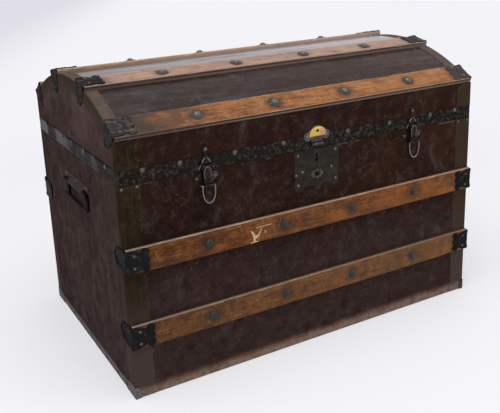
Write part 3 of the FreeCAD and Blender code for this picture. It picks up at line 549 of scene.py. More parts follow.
# base, worn and bare colour; size, start, end and amount of the worn patches;
# metallic, rough, pit depth, shine, chips, and the shine towards the edge of the view
metalLook = {
    "capIron": ((0.012, 0.0122, 0.0128), (0.046, 0.045, 0.045), (0.1, 0.1, 0.1),
                (0.01, 0.52, 0.72, 0.6), 0.9, 0.28, 0.0006, 0.0, 0.35, 0.5),
    "bandTin": ((0.013, 0.0112, 0.0104), (0.08, 0.069, 0.06), (0.27, 0.24, 0.215),
                (0.0065, 0.46, 0.72, 0.75), 0.9, 0.28, 0.0006, 0.0, 0.0, 0.45),
    "latchIron": ((0.021, 0.0155, 0.015), (0.08, 0.06, 0.053), (0.26, 0.22, 0.2),
                  (0.006, 0.5, 0.64, 0.7), 0.85, 0.36, 0.0004, 0.0, 0.6, 0.6),
    # the lighter latch iron is partly bare rubbed metal, partly painted highlight on raised edges
    "latchRubbedAndHighlit": ((0.12, 0.1, 0.094), (0.05, 0.039, 0.035), (0.34, 0.3, 0.28),
                  (0.005, 0.6, 0.74, 0.6), 0.7, 0.34, 0.0003, 0.5, 0.6),
    "lockBronze": ((0.0165, 0.0128, 0.0095), (0.036, 0.031, 0.025), (0.1, 0.09, 0.075),
                   (0.016, 0.42, 0.66, 0.7), 0.15, 0.46, 0.0003, 0.08, 0.4),
    "petalBronze": ((0.06, 0.051, 0.042), (0.022, 0.018, 0.015), (0.24, 0.21, 0.18),
                    (0.0035, 0.5, 0.66, 0.7), 0.6, 0.38, 0.0002, 0.5, 0.6),
    "brassRubbed": ((0.6, 0.385, 0.095), (0.19, 0.105, 0.03), (0.8, 0.62, 0.28),
                    (0.0045, 0.53, 0.66, 0.7), 0.75, 0.36, 0.0004, 0.5, 0.5),
    "rivetIron": ((0.0055, 0.0075, 0.007), (0.022, 0.028, 0.026), (0.2, 0.21, 0.2),
                  (0.005, 0.48, 0.66, 0.6), 0.15, 0.24, 0.0003, 0.45, 0.3),
    "studIron": ((0.085, 0.082, 0.074), (0.17, 0.165, 0.15), (0.38, 0.37, 0.33),
                 (0.005, 0.45, 0.62, 0.7), 0.5, 0.33, 0.0003, 0.5, 0.6),
    "wireSteel": ((0.195, 0.168, 0.16), (0.065, 0.052, 0.049), (0.42, 0.39, 0.38),
                  (0.005, 0.5, 0.66, 0.7), 0.7, 0.36, 0.0002, 0.5, 0.6),
    "greySheet": ((0.15, 0.132, 0.138), (0.036, 0.027, 0.026), (0.17, 0.155, 0.155),
                  (0.01, 0.48, 0.66, 0.85), 0.3, 0.42, 0.0008, 0.0, 0.5, 0.45),
    "tackTin": ((0.086, 0.074, 0.066), (0.175, 0.152, 0.135), (0.34, 0.3, 0.26),
                (0.0035, 0.48, 0.62, 0.8), 0.5, 0.36, 0.0004, 0.2, 0.5),
    "lidCapIron": ((0.027, 0.0238, 0.024), (0.095, 0.084, 0.082), (0.24, 0.22, 0.22),
                   (0.007, 0.46, 0.7, 0.75), 0.8, 0.3, 0.0006, 0.0, 0.0, 0.5),
    "petalIron": ((0.042, 0.034, 0.026), (0.095, 0.082, 0.066), (0.22, 0.2, 0.17),
                  (0.005, 0.45, 0.62, 0.7), 0.3, 0.38, 0.0003, 0.2, 0.5),
    "capRidgeWearAndHighlight": ((0.04, 0.043, 0.043), (0.012, 0.012, 0.013), (0.16, 0.16, 0.16),
                (0.006, 0.46, 0.62, 0.8), 0.6, 0.32, 0.0003, 0.1, 0.4, 0.6),
    "pinDull": ((0.034, 0.028, 0.022), (0.085, 0.072, 0.058), (0.2, 0.17, 0.14),
                (0.02, 0.45, 0.62, 0.7), 0.2, 0.45, 0.0002, 0.1, 0.3),
    "handleIron": ((0.0175, 0.014, 0.0135), (0.058, 0.044, 0.04), (0.12, 0.1, 0.09),
                   (0.008, 0.52, 0.68, 0.6), 0.85, 0.38, 0.0004, 0.0, 0.4, 0.45),
    "haspTin": ((0.03, 0.02, 0.02), (0.095, 0.066, 0.078), (0.28, 0.23, 0.21),
                (0.008, 0.46, 0.62, 0.8), 0.4, 0.34, 0.0004, 0.5, 0.5),
    "holeBlack": ((0.004, 0.0035, 0.0035), (0.008, 0.007, 0.007), (0.02, 0.018, 0.016),
                  (0.004, 0.5, 0.66, 0.5), 0.0, 0.7, 0.0001, 0.1, 0.0),
    "plateOlive": ((0.054, 0.042, 0.038), (0.112, 0.092, 0.083), (0.15, 0.13, 0.11),
                   (0.008, 0.48, 0.66, 0.6), 0.6, 0.42, 0.0004, 0.0, 0.4, 0.45),
}
# the bluish-grey dent colour is a painted reflection on the band's dents
metalMarks = dict(dent=(0.18, 0.178, 0.198), dull=(0.04, 0.03, 0.026),
                  # the last colour is painted light, lighter towards the right of the lid caps
                  copper=(0.5, 0.235, 0.13), dusty=(0.15, 0.124, 0.114))


def metalFinish(name, flat, worn, bare, how, metallic, rough, pit, shine, chips, edge=1.0):
    size, low, high, amount = how
    bench = Bench(name, dict(metalMarks, flat=flat, worn=worn, bare=bare))
    over = bench.over
    # on the lid caps the worn patches are drawn out along the slats: partly wear, partly painted
    # streaks of highlight
    drawn = 0.22 if name == "lidCapIron" else 1
    patch = bench.cloud(size, (drawn, 1, 1), 6, 0.7, 0.3)
    grit = bench.cloud(size * 0.22, detail=3)
    bench.tone = bench.blend(patch.ease(low, high) * amount, "flat", "worn")
    chip = bench.cells(size * 0.7, feature="SMOOTH_F1").ease(0.18, 0.08)
    chip = chip * patch.ease(0.52, 0.62) * chips
    over(chip, "bare")
    if name == "bandTin":  # dented round the ends, with painted reflections on the dents there, and rubbed bright in places
        x, y, z = bench.axes()
        dents = bench.cloud(0.062, (1, 1, 0.8), 5, 0.62, shift=(2, 3, 0))
        onEnds = abs(x).ease(halfL - 0.002, halfL + 0.0004)
        over(onEnds * 0.2, "worn")
        black = dents.ease(0.48, 0.6) * (1 - onEnds)
        over(black * 0.75, "flat")
        over(dents.ease(0.47, 0.6) * onEnds * (0.6 + y * 2.2).clip() * 0.85, "dent")
        speck = grit.ease(0.56, 0.68) * patch.ease(0.46, 0.62) * (1 - onEnds)
        over(speck * (0.3 + x * 0.75).clip() * (1 - black * 0.8), "bare")
    if name == "lidCapIron":  # painted light: lighter to the right, where more light falls
        x = bench.axes()[0]
        over(x.ease(-0.2, 0.35) * x.ease(halfL + 0.002, halfL) * 0.34, "dusty")
    if name == "greySheet":  # duller round the right end
        over(bench.axes()[0].ease(0.2, 0.38) * 0.8, "dull")
    if name == "brassRubbed":  # copper shows through on one side
        x = bench.axes()[0]
        over((x + (patch - 0.5) * 0.006).ease(0.0042, 0.0075) * 0.85, "copper")
    under = bench.bump(patch, pit, 0.7)
    return bench.finish({"Specular IOR Level": shine, "Specular Tint": (edge,) * 3,
                         "Roughness": (rough + (patch - 0.45) * 0.5 + grit * 0.06).clip(),
                         "Metallic": (metallic + chip * 0.3).clip(),
                         "Normal": bench.bump(grit, pit * 0.3, 0.6, under)})


bindingLook = dict(
    flat=(0.0225, 0.0145, 0.0082), dark=(0.015, 0.0098, 0.0062), olive=(0.036, 0.0245, 0.0135),
    dust=(0.085, 0.066, 0.052), fleck=(0.17, 0.135, 0.105), low=(0.066, 0.047, 0.042),
    right=(0.058, 0.036, 0.024), lidEnd=(0.06, 0.044, 0.034), mauve=(0.054, 0.036, 0.034),
    top=(0.16, 0.12, 0.104), foot=(0.25, 0.178, 0.146))


def bindingFinish():
    bench = Bench("edgeBinding", bindingLook)
    over = bench.over
    lay = bench.lay()
    along, across, seed = bench.axes(lay)
    x, y, z = bench.axes()
    streak = bench.cloud(0.005, (0.12, 1, 3), 4, 0.6, at=lay)
    patch = bench.cloud(0.026, detail=6, rough=0.68)
    fine = bench.cloud(0.0035, detail=3)
    onEnds = abs(x).ease(halfL - 0.002, halfL)
    bench.tone = bench.blend(streak.ease(0.36, 0.64), "dark", "flat")
    over(patch.ease(0.42, 0.66) * 0.7, "olive")
    over(x.ease(-0.3, 0.4) * 0.55, "right")
    over(onEnds * (z + (patch - 0.5) * 0.05).ease(0.44, 0.52) * 0.6, "lidEnd")
    over(z.ease(lip + 0.004, lip + 0.03) * (1 - onEnds) * (0.25 + patch * 0.6), "top")
    over(onEnds * (across + (patch - 0.5) * 0.012).ease(-0.022, -0.004) * 0.75, "mauve")
    over((z + (patch - 0.5) * 0.12).ease(0.24, 0.08) * 0.75, "low")
    foot = (z + (patch - 0.5) * 0.02).ease(0.024, 0.01) * (1 - onEnds)
    over(foot * (0.25 + fine.ease(0.36, 0.62) * 0.45), "foot")
    over(fine.ease(0.54, 0.72) * 0.25, "dust")
    wave = (along * 62).sine() * 0.0012 + (along * 23).sine() * 0.0016
    seam = abs(across + 0.015 + wave + (patch - 0.5) * 0.004).ease(0.0013, 0.0004)
    over(seam * streak.ease(0.3, 0.6) * 0.12, "dust")
    over(abs(across).ease(0.0018, 0.0006) * patch.ease(0.46, 0.62) * 0.25, "fleck")
    return bench.finish({"Specular IOR Level": 0.0, "Roughness": (0.46 + patch * 0.2).clip(),
                         "Normal": bench.bump(streak + patch, 0.0007, 0.7)})


paperLook = dict(plain=(0.5, 0.44, 0.32), aged=(0.36, 0.27, 0.16), stain=(0.2, 0.13, 0.075))


def paperFinish():
    bench = Bench("liningPaper", paperLook)
    patch = bench.cloud(0.09, detail=6, rough=0.66)
    fibre = bench.cloud(0.0022, detail=2)
    bench.tone = bench.blend(patch.ease(0.42, 0.66), "plain", "aged")
    rings = abs(bench.cloud(0.16, detail=2, warp=0.7) - 0.5).ease(0.02, 0)
    bench.over(rings * patch.ease(0.45, 0.6) * 0.5, "stain")
    low = bench.axes()[2].ease(0.05, 0.015)
    bench.over(low * 0.4 + fibre.ease(0.6, 0.8) * 0.15, "stain")
    return bench.finish({"Roughness": 0.85, "Normal": bench.bump(patch + fibre * 0.2, 0.002, 0.5)})


pineLook = dict(dark=(0.24, 0.13, 0.055), light=(0.52, 0.34, 0.17), knot=(0.1, 0.05, 0.02))


def pineFinish():
    bench = Bench("pineBoards", pineLook)
    rings = bench.cloud(0.009, (0.05, 1, 1), 5, 0.6, 0.8)
    pores = bench.cloud(0.0012, (0.03, 1, 1), 2)
    bench.tone = bench.blend(rings.ease(0.38, 0.62), "light", "dark")
    bench.over(bench.cells(0.16, (0.55, 1, 1)).ease(0.09, 0.04) * 0.7, "knot")
    bench.over(pores.ease(0.58, 0.72) * 0.3, "dark")
    return bench.finish({"Roughness": 0.68, "Normal": bench.bump(rings + pores * 0.4, 0.0006, 0.5)})


finish = {"canvas": paintedCanvas(), "lidOak": oakFinish("lidOak"), "boxOak": oakFinish("boxOak")}
finish.update({name: metalFinish(name, *row) for name, row in metalLook.items()})
finish.update(binding=bindingFinish(), paper=paperFinish(), pine=pineFinish())
print("finishes mixed:", len(finish))


# lid cover
coverCut = dict(stations=60, slack=0.0003, calm=0.03, rings=5)


def makeLidCover(stations, slack, calm, rings):
    stock = Stock()
    line = lidLine(0.0, lidRim, walls=10, dome=72)
    rows = []
    for x in spaced(-halfL, halfL, stations):
        give = slack * min(1.0, (halfL - abs(x)) / calm)
        rows.append([Vector((x, y, z)) + Vector((0, y, z - domeZ if z > lip else 0)).normalized()
                     * give * wander(x, y, z, 0.11) for y, z in line])
    stock.grid(rows)
    for side in (-1, 1):
        stock.grid([[Vector((side * halfL, y * t, lidRim + (z - lidRim) * t)) for y, z in line]
                    for t in spaced(1, 0, rings)])
    stock.make("lidCover", "canvas", "lid", "painted_canvas", ["lid_canvas"], sharp=30)


# slats
slatCut = dict(curve=0.002, chip=0.0022, fray=0.0006, stations=170, sunk=0.0012, cup=0.00025)


def makeSlats(curve, chip, fray, stations, sunk, cup):
    half = slatWide / 2
    for seed, (name, place) in enumerate(slatPlaces.items(), 1):
        body = "lid" if name.startswith("lid") else "box"
        turn = -1.0 if name.startswith("lid_slat_back") else 1.0
        foot = -sunk if body == "lid" else 0.0
        rows, lay = [], []
        for x in spaced(-halfL, halfL, stations):
            outline = [(-half, foot)]
            for side in (-1, 1):
                bite = max(0.0, wander(x, side * seed, seed * 3.7, 0.035) - 0.12)
                loose = max(0.0, wander(x, side * seed * 2.1, seed, 0.009))
                r = curve + chip * bite * 2.2 + fray * loose
                corner = [(side * (half - r + r * sin(a)), slatThick - r + r * cos(a))
                          for a in map(radians, (90, 67.5, 45, 22.5, 0))]
                outline += corner[::-side]
                if side < 0:
                    dip = cup * (wander(x, seed, 5.0, 0.06) - 1)
                    outline += [(y, slatThick + dip) for y in (-0.6 * half, 0, 0.6 * half)]
            outline.append((half, foot))
            rows.append([place @ Vector((x, y, z)) for y, z in outline])
            marks = []
            for y, z in outline:  # the grain goes on over the edges
                down = slatThick - z if abs(y) > 0.7 * half else 0.0
                marks.append((x, turn * (y + copysign(down, y)), float(seed)))
            lay.append(marks)
        stock = Stock()
        stock.grid(rows, lay)
        stock.make(name.replace("body", "box") + "_oak", body + "Oak", body, "oak_slats", [name],
                   sharp=50)


# iron caps on the slat ends; a tail is its fold down the end, how much it narrows and how soon
capCut = dict(half=0.022, top=0.0105, back=0.0375, lobe=0.0074, gauge=0.0015, bend=0.0024,
              rim=0.0007, ring=0.001, across=40, down=56)
capTail = {"body": (0.046, 0.2, 2.0), "lid": (0.037, 0.72, 1.7)}


def capSheet(stock, trim, place, side, tail, half, top, back, lobe, gauge, bend, rim, ring,
             across, down):  # place: the slat's own frame, side: its end
    fold, tip, power = tail
    endX = halfL + 0.0008 + gauge
    quarter = bend * pi / 4
    deep = top + fold - bend * 0.4

    def width(u):  # waist behind the crest, and the tail that narrows down the end
        if u >= 0:
            return 1.0 - tip * (u / deep) ** power
        near = min(1.0, max(0.0, (-u - 0.004) / 0.02)) ** 1.6
        leaf = near if u > -0.0285 else max(0.0, (u + 0.0325) / 0.004)
        return 1.0 - 0.2 * leaf - 0.13 * hump(u + 0.0275, 0.003)

    def spot(u, v, lift=0.0):
        a = min(max((u + quarter) / bend, 0.0), pi / 2)
        x = endX - bend + (bend + lift) * sin(a) + min(0.0, u + quarter)
        z = top - bend + (bend + lift) * cos(a) - max(0.0, u - quarter)
        return place @ Vector((side * x, v * width(u), z))

    def first(v):
        middle = min((-2 * lobe, 0.0, 2 * lobe), key=lambda c: abs(v - c))
        return -back - sqrt(max(0.0, lobe ** 2 - (v - middle) ** 2))

    def last(v):
        return deep - 0.016 * (1.0 - sqrt(max(0.0, 1.0 - (v / half) ** 2)))

    def pressed(u, v, start, end):  # rim, leaf ridge, hollow, vein and crest of the stamping
        near = min((half - abs(v)) * width(u), u - start, end - u)
        leaf = hypot(max(0.0, -u) / 0.0265, v / 0.0185) if u < 0 else \
            hypot(u / (deep * 0.8), v / (0.0165 * width(u)))
        return (rim * hump(near - 0.002, 0.0011) + ring * hump(leaf - 1.0, 0.1)
                - 0.0004 * exp(-(leaf / 0.7) ** 4)
                + 0.0005 * hump(v, 0.0016) * exp(-(leaf / 0.8) ** 6)
                + 0.0006 * hump(u + 0.0385, 0.0022) + 0.0003 * wander(u, v, side, 0.012))

    def line(v, inner=False):
        start, end = first(v), last(v)
        row = [spot(u, v, -gauge if inner else pressed(u, v, start, end))
               for u in spaced(start, end, down)]
        return [spot(start, v, -gauge), *row, spot(end, v, -gauge)]

    places = spaced(-half, half, across)
    stock.grid([line(-half, True), *map(line, places), line(half, True)])
    trim.tube([spot(-abs(u * 0.0262), v * 0.018, ring + 0.0001)
               for u, v in arc(0, 0, 1.0, 100, 205, 26)], swell(0.0007, 0.4, 0.8), 8)
    trim.tube([spot(last(v) - 0.0016, v, rim + 0.0001) for v in places[3:-3]], 0.0007, 8)


def makeCaps():
    for side, hand in ends:
        for body, owner, iron in (("box", "body", "capIron"), ("lid", "lid", "lidCapIron")):
            stock, trim = Stock(), Stock()
            for name, place in slatPlaces.items():
                if name.startswith(owner):
                    flip = -side if "body_slat_back" in name else side
                    capSheet(stock, trim, place, flip, capTail[owner], **capCut)
            stock.make(f"{body}_caps_{hand}", iron, body, "black_iron",
                       [f"{owner}_slat_caps_{hand}"], sharp=45)
            # the stamped ridges in a lighter iron: partly rubbed wear, partly painted highlight
            trim.make(f"{body}_cap_ridges_{hand}", "capRidgeWearAndHighlight", body, "black_iron")


# rivets, studs and tacks: radius and height, from the base up
shut = 0.00001  # the radius that closes a turned form
headCut = dict(
    slatRivet=[(0.0084, 0), (0.0084, 0.0007), (0.0078, 0.0011), (0.007, 0.0024),
               (0.0054, 0.0037), (0.0032, 0.0044), (0.0012, 0.0046), (shut, 0.0046)],
    studDome=[(0.0068, 0.001), (0.0066, 0.002), (0.0058, 0.0035), (0.004, 0.0049),
              (0.002, 0.0055), (0.0006, 0.0056), (shut, 0.0056)],
    studPetals=[(0.0118, 0), (0.0122, 0.0005), (0.0112, 0.0012), (0.0092, 0.0012),
                (0.0078, 0.0016), (0.0066, 0.0014)],
    small=[(0.0029, 0), (0.0028, 0.0006), (0.0021, 0.0012), (0.001, 0.0015), (shut, 0.0015)],
    tack=[(0.0043, 0), (0.0045, 0.0005), (0.0038, 0.001), (0.0029, 0.0008), (0.0025, 0.0014),
          (0.0016, 0.0022), (0.0006, 0.0024), (shut, 0.0024)],
    pin=[(0.0016, 0), (0.0015, 0.0004), (0.0008, 0.0008), (shut, 0.0009)])


def makeHeads():
    rivets, domes, petals, tacks = Stock(), Stock(), Stock(), Stock()
    for name, place in slatPlaces.items():
        for k, x in enumerate(columns):
            spot = moved(place, x, 0, slatThick)
            if name.startswith("body"):
                lean = Matrix.Rotation(0.05 * wander(x, k, 2.0, 0.1), 4, "X")
                rivets.turned(headCut["slatRivet"], spot @ lean, 30, 7, 0.012)
            else:
                spot = spot @ Matrix.Rotation(k * 1.1 + x * 9, 4, "Z")
                petals.turned(headCut["studPetals"], spot, 64, 8, 0.085)
                domes.turned(headCut["studDome"], spot, 28)
    height, lift = bandTop - 0.005, 0.0012
    for s in (-1, 1):
        for face in (onFront, onBack):
            for x in (halfL - 0.045, 0.075, latchX + 0.05, latchX - 0.06):
                tacks.turned(headCut["tack"], face(s * x, height, lift), 40, 8, 0.07)
        for y in (0.07, 0.0575 - halfD, -0.07, halfD - 0.0575):
            tacks.turned(headCut["tack"], onEnd(s, y, height, lift), 40, 8, 0.07)
    rivets.make("box_slat_rivets", "rivetIron", "box", "rivet_iron", ["body_slat_rivets"])
    domes.make("lid_slat_studs_domes", "studIron", "lid", "rivet_iron", ["lid_slat_studs"])
    petals.make("lid_slat_rosettes", "petalIron", "lid", "rivet_iron")
    tacks.make("rim_rosettes", "tackTin", "lid", "rivet_iron", ["rim_tacks"])


def headSpots(node):  # the small heads of a frame node: base centre, outward way and size
    form = bmesh.new()
    form.from_mesh(nodes[node].data)
    bmesh.ops.remove_doubles(form, verts=form.verts, dist=1e-6)
    left = dict.fromkeys(form.verts)  # unlike a set, it keeps their order
    while left:
        group, edge = [], [left.popitem()[0]]
        while edge:
            vert = edge.pop()
            group.append(vert)
            near = [v for v in (link.other_vert(vert) for link in vert.link_edges) if v in left]
            for other in near:
                del left[other]
            edge += near
        faces = dict.fromkeys(face for vert in group for face in vert.link_faces)
        big = max(faces, key=lambda f: f.calc_area())
        flats = [f for f in faces if f.normal.dot(big.normal) > 0.999]
        area = sum(f.calc_area() for f in flats)
        base = sum((f.calc_center_median() * f.calc_area() for f in flats), Vector()) / area
        middle = sum((v.co for v in group), Vector()) / len(group)
        out = big.normal * (1 if (middle - base).dot(big.normal) > 0 else -1)
        yield base, out, max((v.co - base).length for v in group)
    form.free()


def makeSmallHeads():
    for node, body in (("body_small_rivets", "box"), ("lid_small_rivets", "lid")):
        bright, dull = Stock(), Stock()
        for base, out, size in headSpots(node):
            across = Vector((1, 0, 0)) if abs(out.x) < 0.9 else Vector((0, 1, 0))
            grow = Matrix.Scale(size / headCut["small"][0][0], 4)
            stock = bright if abs(base.x) < 0.06 and base.y < 0 else dull
            place = stand(base, across - out * across.dot(out), out)
            stock.turned(headCut["small"], place @ grow, 20)
        dull.make(f"{body}_small_heads", "tackTin", body, "rivet_iron", [node])
        bright.make(f"{body}_lock_heads", "studIron", body, "rivet_iron")


# rim band
bandCut = dict(gauge=0.0012, corner=0.0022, buckle=0.0016, waves=0.00035, step=0.005,
               levels=[(0.0, -0.0002), (0.0, 1.0), (0.06, 1.25), (0.12, 1.0), (0.2, 0.72),
                       (0.5, 0.72), (0.8, 0.72), (0.88, 1.0), (0.94, 1.25), (1.0, 1.0),
                       (1.0, -0.0002)])


def ringPath(radius, step):
    path = []
    corners = [(1, -1, -90), (1, 1, 0), (-1, 1, 90), (-1, -1, 180)]
    middles = [Vector((sx * (halfL - radius), sy * (halfD - radius), 0)) for sx, sy, a in corners]
    for i, (sx, sy, start) in enumerate(corners):
        for x, y in arc(0, 0, 1.0, start, start + 90, 5):
            out = Vector((x, y, 0))
            path.append((middles[i] + out * radius, out))
        here, goal = path[-1][0], middles[(i + 1) % 4] + out * radius
        count = max(2, int((goal - here).length / step))
        path += [(here.lerp(goal, k / count), out) for k in range(1, count)]
    return path


def makeBand(gauge, corner, buckle, waves, step, levels):
    rows = []
    for point, out in ringPath(corner, step):
        row = []
        for t, share in levels:
            z = lidRim + (bandTop - lidRim) * t
            lift = gauge * share if share > 0 else share
            if 0.1 < t < 0.9:
                lift += waves * (1 + wander(point.x, point.y, z, 0.014))
            if share > 0:
                fold = max(0.0, sin(point.y / 0.0268 + 0.9)) ** 2 * (0.5 + 0.5 * t)
                lift += buckle * fold * abs(out.x) * (1 if point.x < 0 else 0.5)
            ragged = 0.0006 * wander(point.x, point.y, t * 9, 0.02) * (t > 0.5)
            row.append(Vector((point.x, point.y, z + ragged)) + out * lift)
        rows.append(row)
    stock = Stock()
    stock.grid(rows, loopRows=True)
    stock.make("rim_band_tin", "bandTin", "lid", "black_iron", ["rim_band"], sharp=60)


# edge bindings
bindingCut = dict(gauge=0.0008, curve=0.001, face=0.038, end=0.026, dome=0.024, puff=0.0004,
                  pitch=0.021, inset=0.003)


def stripRow(corner, faceWay, faceOut, endWay, endOut, wide, deep, along, puff):
    t, r = bindingCut["gauge"], bindingCut["curve"]  # from the face's inner edge to the end
    face = [(wide, 0.0), (wide, t * 0.9)]
    face += [(wide * s, t + puff * sin(pi * s)) for s in (0.9, 0.7, 0.5, 0.3, 0.1)]
    end = [(deep * s, t + puff * sin(pi * s)) for s in (0.1, 0.4, 0.7, 0.9)]
    end += [(deep, t * 0.9), (deep, 0.0)]
    row = [corner + faceWay * d + faceOut * lift for d, lift in face]
    row += [corner + faceOut * (t - r + r * cos(a)) + endOut * (t - r + r * sin(a))
            for a in map(radians, (18, 45, 72))]
    row += [corner + endWay * d + endOut * lift for d, lift in end]
    marks = [(along, d - wide, 1.0) for d, lift in face] + [(along, -wide * 0.9, 1.0)] * 3
    return row, marks + [(along, d - deep, 2.0) for d, lift in end]


def makeBindings(gauge, curve, face, end, dome, puff, pitch, inset):
    stock, pins = Stock(), Stock()
    low, high = 0.0008, boxRim - 0.0006
    for sx in (-1, 1):
        for sy in (-1, 1):
            faceOut, endOut = Vector((0, sy, 0)), Vector((sx, 0, 0))
            strips = [stripRow(Vector((sx * halfL, sy * halfD, z)), -endOut, faceOut, -faceOut,
                               endOut, face + 0.001 * wander(z, sx * 3, sy * 5, 0.05),
                               end + 0.0012 * wander(z, sx * 7, sy * 2, 0.06), z,
                               puff * wander(z, sx, sy, 0.09)) for z in spaced(low, high, 90)]
            stock.grid(*zip(*strips))
            z = low + 0.03
            while z < high - 0.012:
                if all(abs(z - slat) >= 0.031 for slat in (upperSlat, lowerSlat)):
                    spot = Vector((sx * (halfL - face + inset), sy * (halfD + gauge), z))
                    pins.turned(headCut["pin"], stand(spot, (-sy, 0, 0), faceOut), 10)
                z += pitch
    stock.make("box_corner_strips", "binding", "box", "edge_binding",
               ["body_corner_bindings"], sharp=50)
    pins.make("box_strip_pins", "pinDull", "box", "rivet_iron")
    for side, hand in ends:
        stock, pins = Stock(), Stock()
        endOut = Vector((side, 0, 0))
        outer, inner = (lidLine(inward, bandTop + 0.0003, walls=8, dome=64)
                        for inward in (0.0, -end))
        strips = []
        along = walk = 0.0
        for i, ((y, z), (innerY, innerZ)) in enumerate(zip(outer, inner)):
            corner = Vector((side * halfL, y, z))
            into = Vector((side * halfL, innerY, innerZ)) - corner
            onWall = i < 8 or i > len(outer) - 9
            faceOut = Vector((0, y, 0 if onWall else z - domeZ)).normalized()
            if i:
                along += (corner - last).length
                walk += (corner - last).length
            last = corner
            wide = (face if onWall else dome) + 0.0008 * wander(along, side, 2, 0.04)
            deep = into.length * (1 + 0.03 * wander(along, side, 9, 0.05))
            strips.append(stripRow(corner, -endOut, faceOut, into.normalized(), endOut, wide,
                                   deep, along, puff * wander(along, side, 1, 0.08)))
            if walk > pitch * 0.7:
                walk = 0.0
                spot = corner - endOut * (wide - inset) + faceOut * gauge
                pins.turned(headCut["pin"], stand(spot, -endOut, faceOut), 10)
        stock.grid(*zip(*strips))
        stock.make(f"lid_edge_strip_{hand}", "binding", "lid", "edge_binding",
                   [f"lid_{hand}_edge_binding"], sharp=50)
        pins.make(f"lid_strip_pins_{hand}", "pinDull", "lid", "rivet_iron")


# foot strips and corner shoes
footCut = dict(strip=0.0155, gauge=0.0012, base=0.0008, floor=0.0002, shoeFace=0.01,
               shoeEnd=0.048, shoe=0.023)


def makeFeet(strip, gauge, base, floor, shoeFace, shoeEnd, shoe):
    stock = Stock()
    inside = halfD - shoeEnd - 0.0004
    for side in (-1, 1):
        rows = []
        for y in spaced(-inside, inside, 120):
            top = strip + 0.0007 * wander(y, side, 3, 0.018)
            top -= 0.0008 * (wander(y, side, 8, 0.007) > 0.35)
            row = [(0.0, 0.0)]
            for t in (0.0, 0.15, 0.4, 0.7, 0.9, 1.0):
                lift = gauge * (0.55 + 0.4 * wander(y, t * 2, side * 4, 0.022))
                row.append((max(floor, lift), top * t))
            rows.append([Vector((side * (halfL + lift), y, floor + z))
                         for lift, z in row + [(0.0, top)]])
        stock.grid(rows)
    stock.make("foot_strips", "greySheet", "box", "grey_sheet", ["bottom_end_strips"], sharp=60)
    stock = Stock()
    for sx in (-1, 1):
        for sy in (-1, 1):
            rows = []
            steps = spaced(-shoeFace, shoeEnd, 26)
            for s in steps:
                if s < -0.0005:
                    spot, out = Vector((halfL + s, halfD, 0)), Vector((0, 1, 0))
                elif s < 0.0012:
                    spot, out = Vector((halfL, halfD, 0)), Vector((0.95, 0.95, 0))
                else:
                    spot, out = Vector((halfL, halfD - s, 0)), Vector((1, 0, 0))
                lean = abs(s) / (shoeFace if s < 0 else shoeEnd)
                tall = shoe * (1 - 0.25 * lean ** 3) + 0.0007 * wander(s, sx, sy * 2, 0.01)
                thick = base + gauge * (0.7 + 0.3 * wander(s, sx, sy, 0.012))
                row = [(base, 0.0)]
                for t in (0.0, 0.3, 0.6, 0.9, 1.0):
                    lift = thick + 0.0002 * wander(s, t, sx + sy, 0.008)
                    row.append((base if s in (steps[0], steps[-1]) else lift, tall * t))
                rows.append([Vector((sx, sy, 1)) * (spot + out * lift + Vector((0, 0, floor + z)))
                             for lift, z in row + [(base, tall)]])
            stock.grid(rows)
    stock.make("box_corner_shoes", "greySheet", "box", "grey_sheet", ["corner_shoes"], sharp=60)


# lock
lockCut = dict(half=0.052, tall=0.074, ear=0.02, earDrop=0.007, lobe=0.0105, corner=0.0025,
               thick=0.0015, bevel=0.0004, slotHalf=0.0021, slotTop=0.009, slotTall=0.017,
               keyDrop=0.051, topDrop=0.0016, bossWide=0.0109, bossRing=0.0074, petal=0.0031)


def keyholeLine(y, grow=0.0):
    radius, leg = 0.0026 + grow, 0.0013 + grow
    start = degrees(asin(leg / radius))
    foot = y - 0.008 - grow
    return arc(0, y, radius, start - 90, 270 - start, 20) + [(-leg, foot), (leg, foot)]


def makeLock(half, tall, ear, earDrop, lobe, corner, thick, bevel, slotHalf, slotTop, slotTall,
             keyDrop, topDrop, bossWide, bossRing, petal):
    place = onFront(0, boxRim - topDrop)
    low, r = -tall, corner
    foot, wide = low - earDrop, r * 1.6
    right = arc(half - r, -r, r, 90, 0, 4) + arc(half - wide, foot + wide, wide, 0, -90, 5)
    right += arc(half - ear + r, foot + r, r, -90, -170, 4)
    right += [(0.03, low - 0.0014), (0.027, low + 0.0006), (0.02, low + 0.0012),
              (0.0135, low + 0.0004)]
    right += arc(0, low, lobe, -6, -90, 9)[:-1] + [(0, low - lobe)]
    slot = [(x, -slotTop - y) for x, y in ((-slotHalf, 0), (slotHalf, 0), (slotHalf, slotTall),
                                           (-slotHalf, slotTall))]
    stock = Stock()
    stock.plate([mirrored(right), slot, keyholeLine(-keyDrop)], thick, bevel, place)
    stock.make("lock_front", "lockBronze", "box", "lock_bronze", ["lock_plate"])
    boss = moved(place, 0, -keyDrop, thick)
    rings = [(a, 0.0092 + 0.0016 * abs(cos(4 * a)) ** 0.6) for a in spokes(96)]
    stock = Stock()
    stock.plate([[(r * 1.33 * cos(a), r * sin(a)) for a, r in rings], keyholeLine(0, 0.0006)],
                0.0009, 0.0002, boss)
    stock.make("keyhole_rosette", "lockBronze", "box", "lock_bronze", ["keyhole_boss"])
    stock = Stock()
    for k, a in enumerate(spokes(8)):
        p = petal * (1.0 if k % 4 else 1.25)
        stock.turned([(p, 0), (p * 0.9, 0.0005), (p * 0.6, 0.001), (p * 0.25, 0.0012),
                      (shut, 0.0012)],
                     moved(boss, bossWide * cos(a), bossRing * sin(a), 0.0007), 18)
    stock.make("keyhole_petals", "petalBronze", "box", "lock_bronze")


# hasp plate
haspCut = dict(rise=0.028, lobe=0.009, lobeAt=(0.021, -0.004), drum=0.017,
               hole=(0.0062, 0.0029), tab=0.013, tabLow=-0.0185, thick=0.0015, knuckle=0.0032,
               dome=0.0028, brass=(0.0024, -0.0052, 0.02, 0.019))


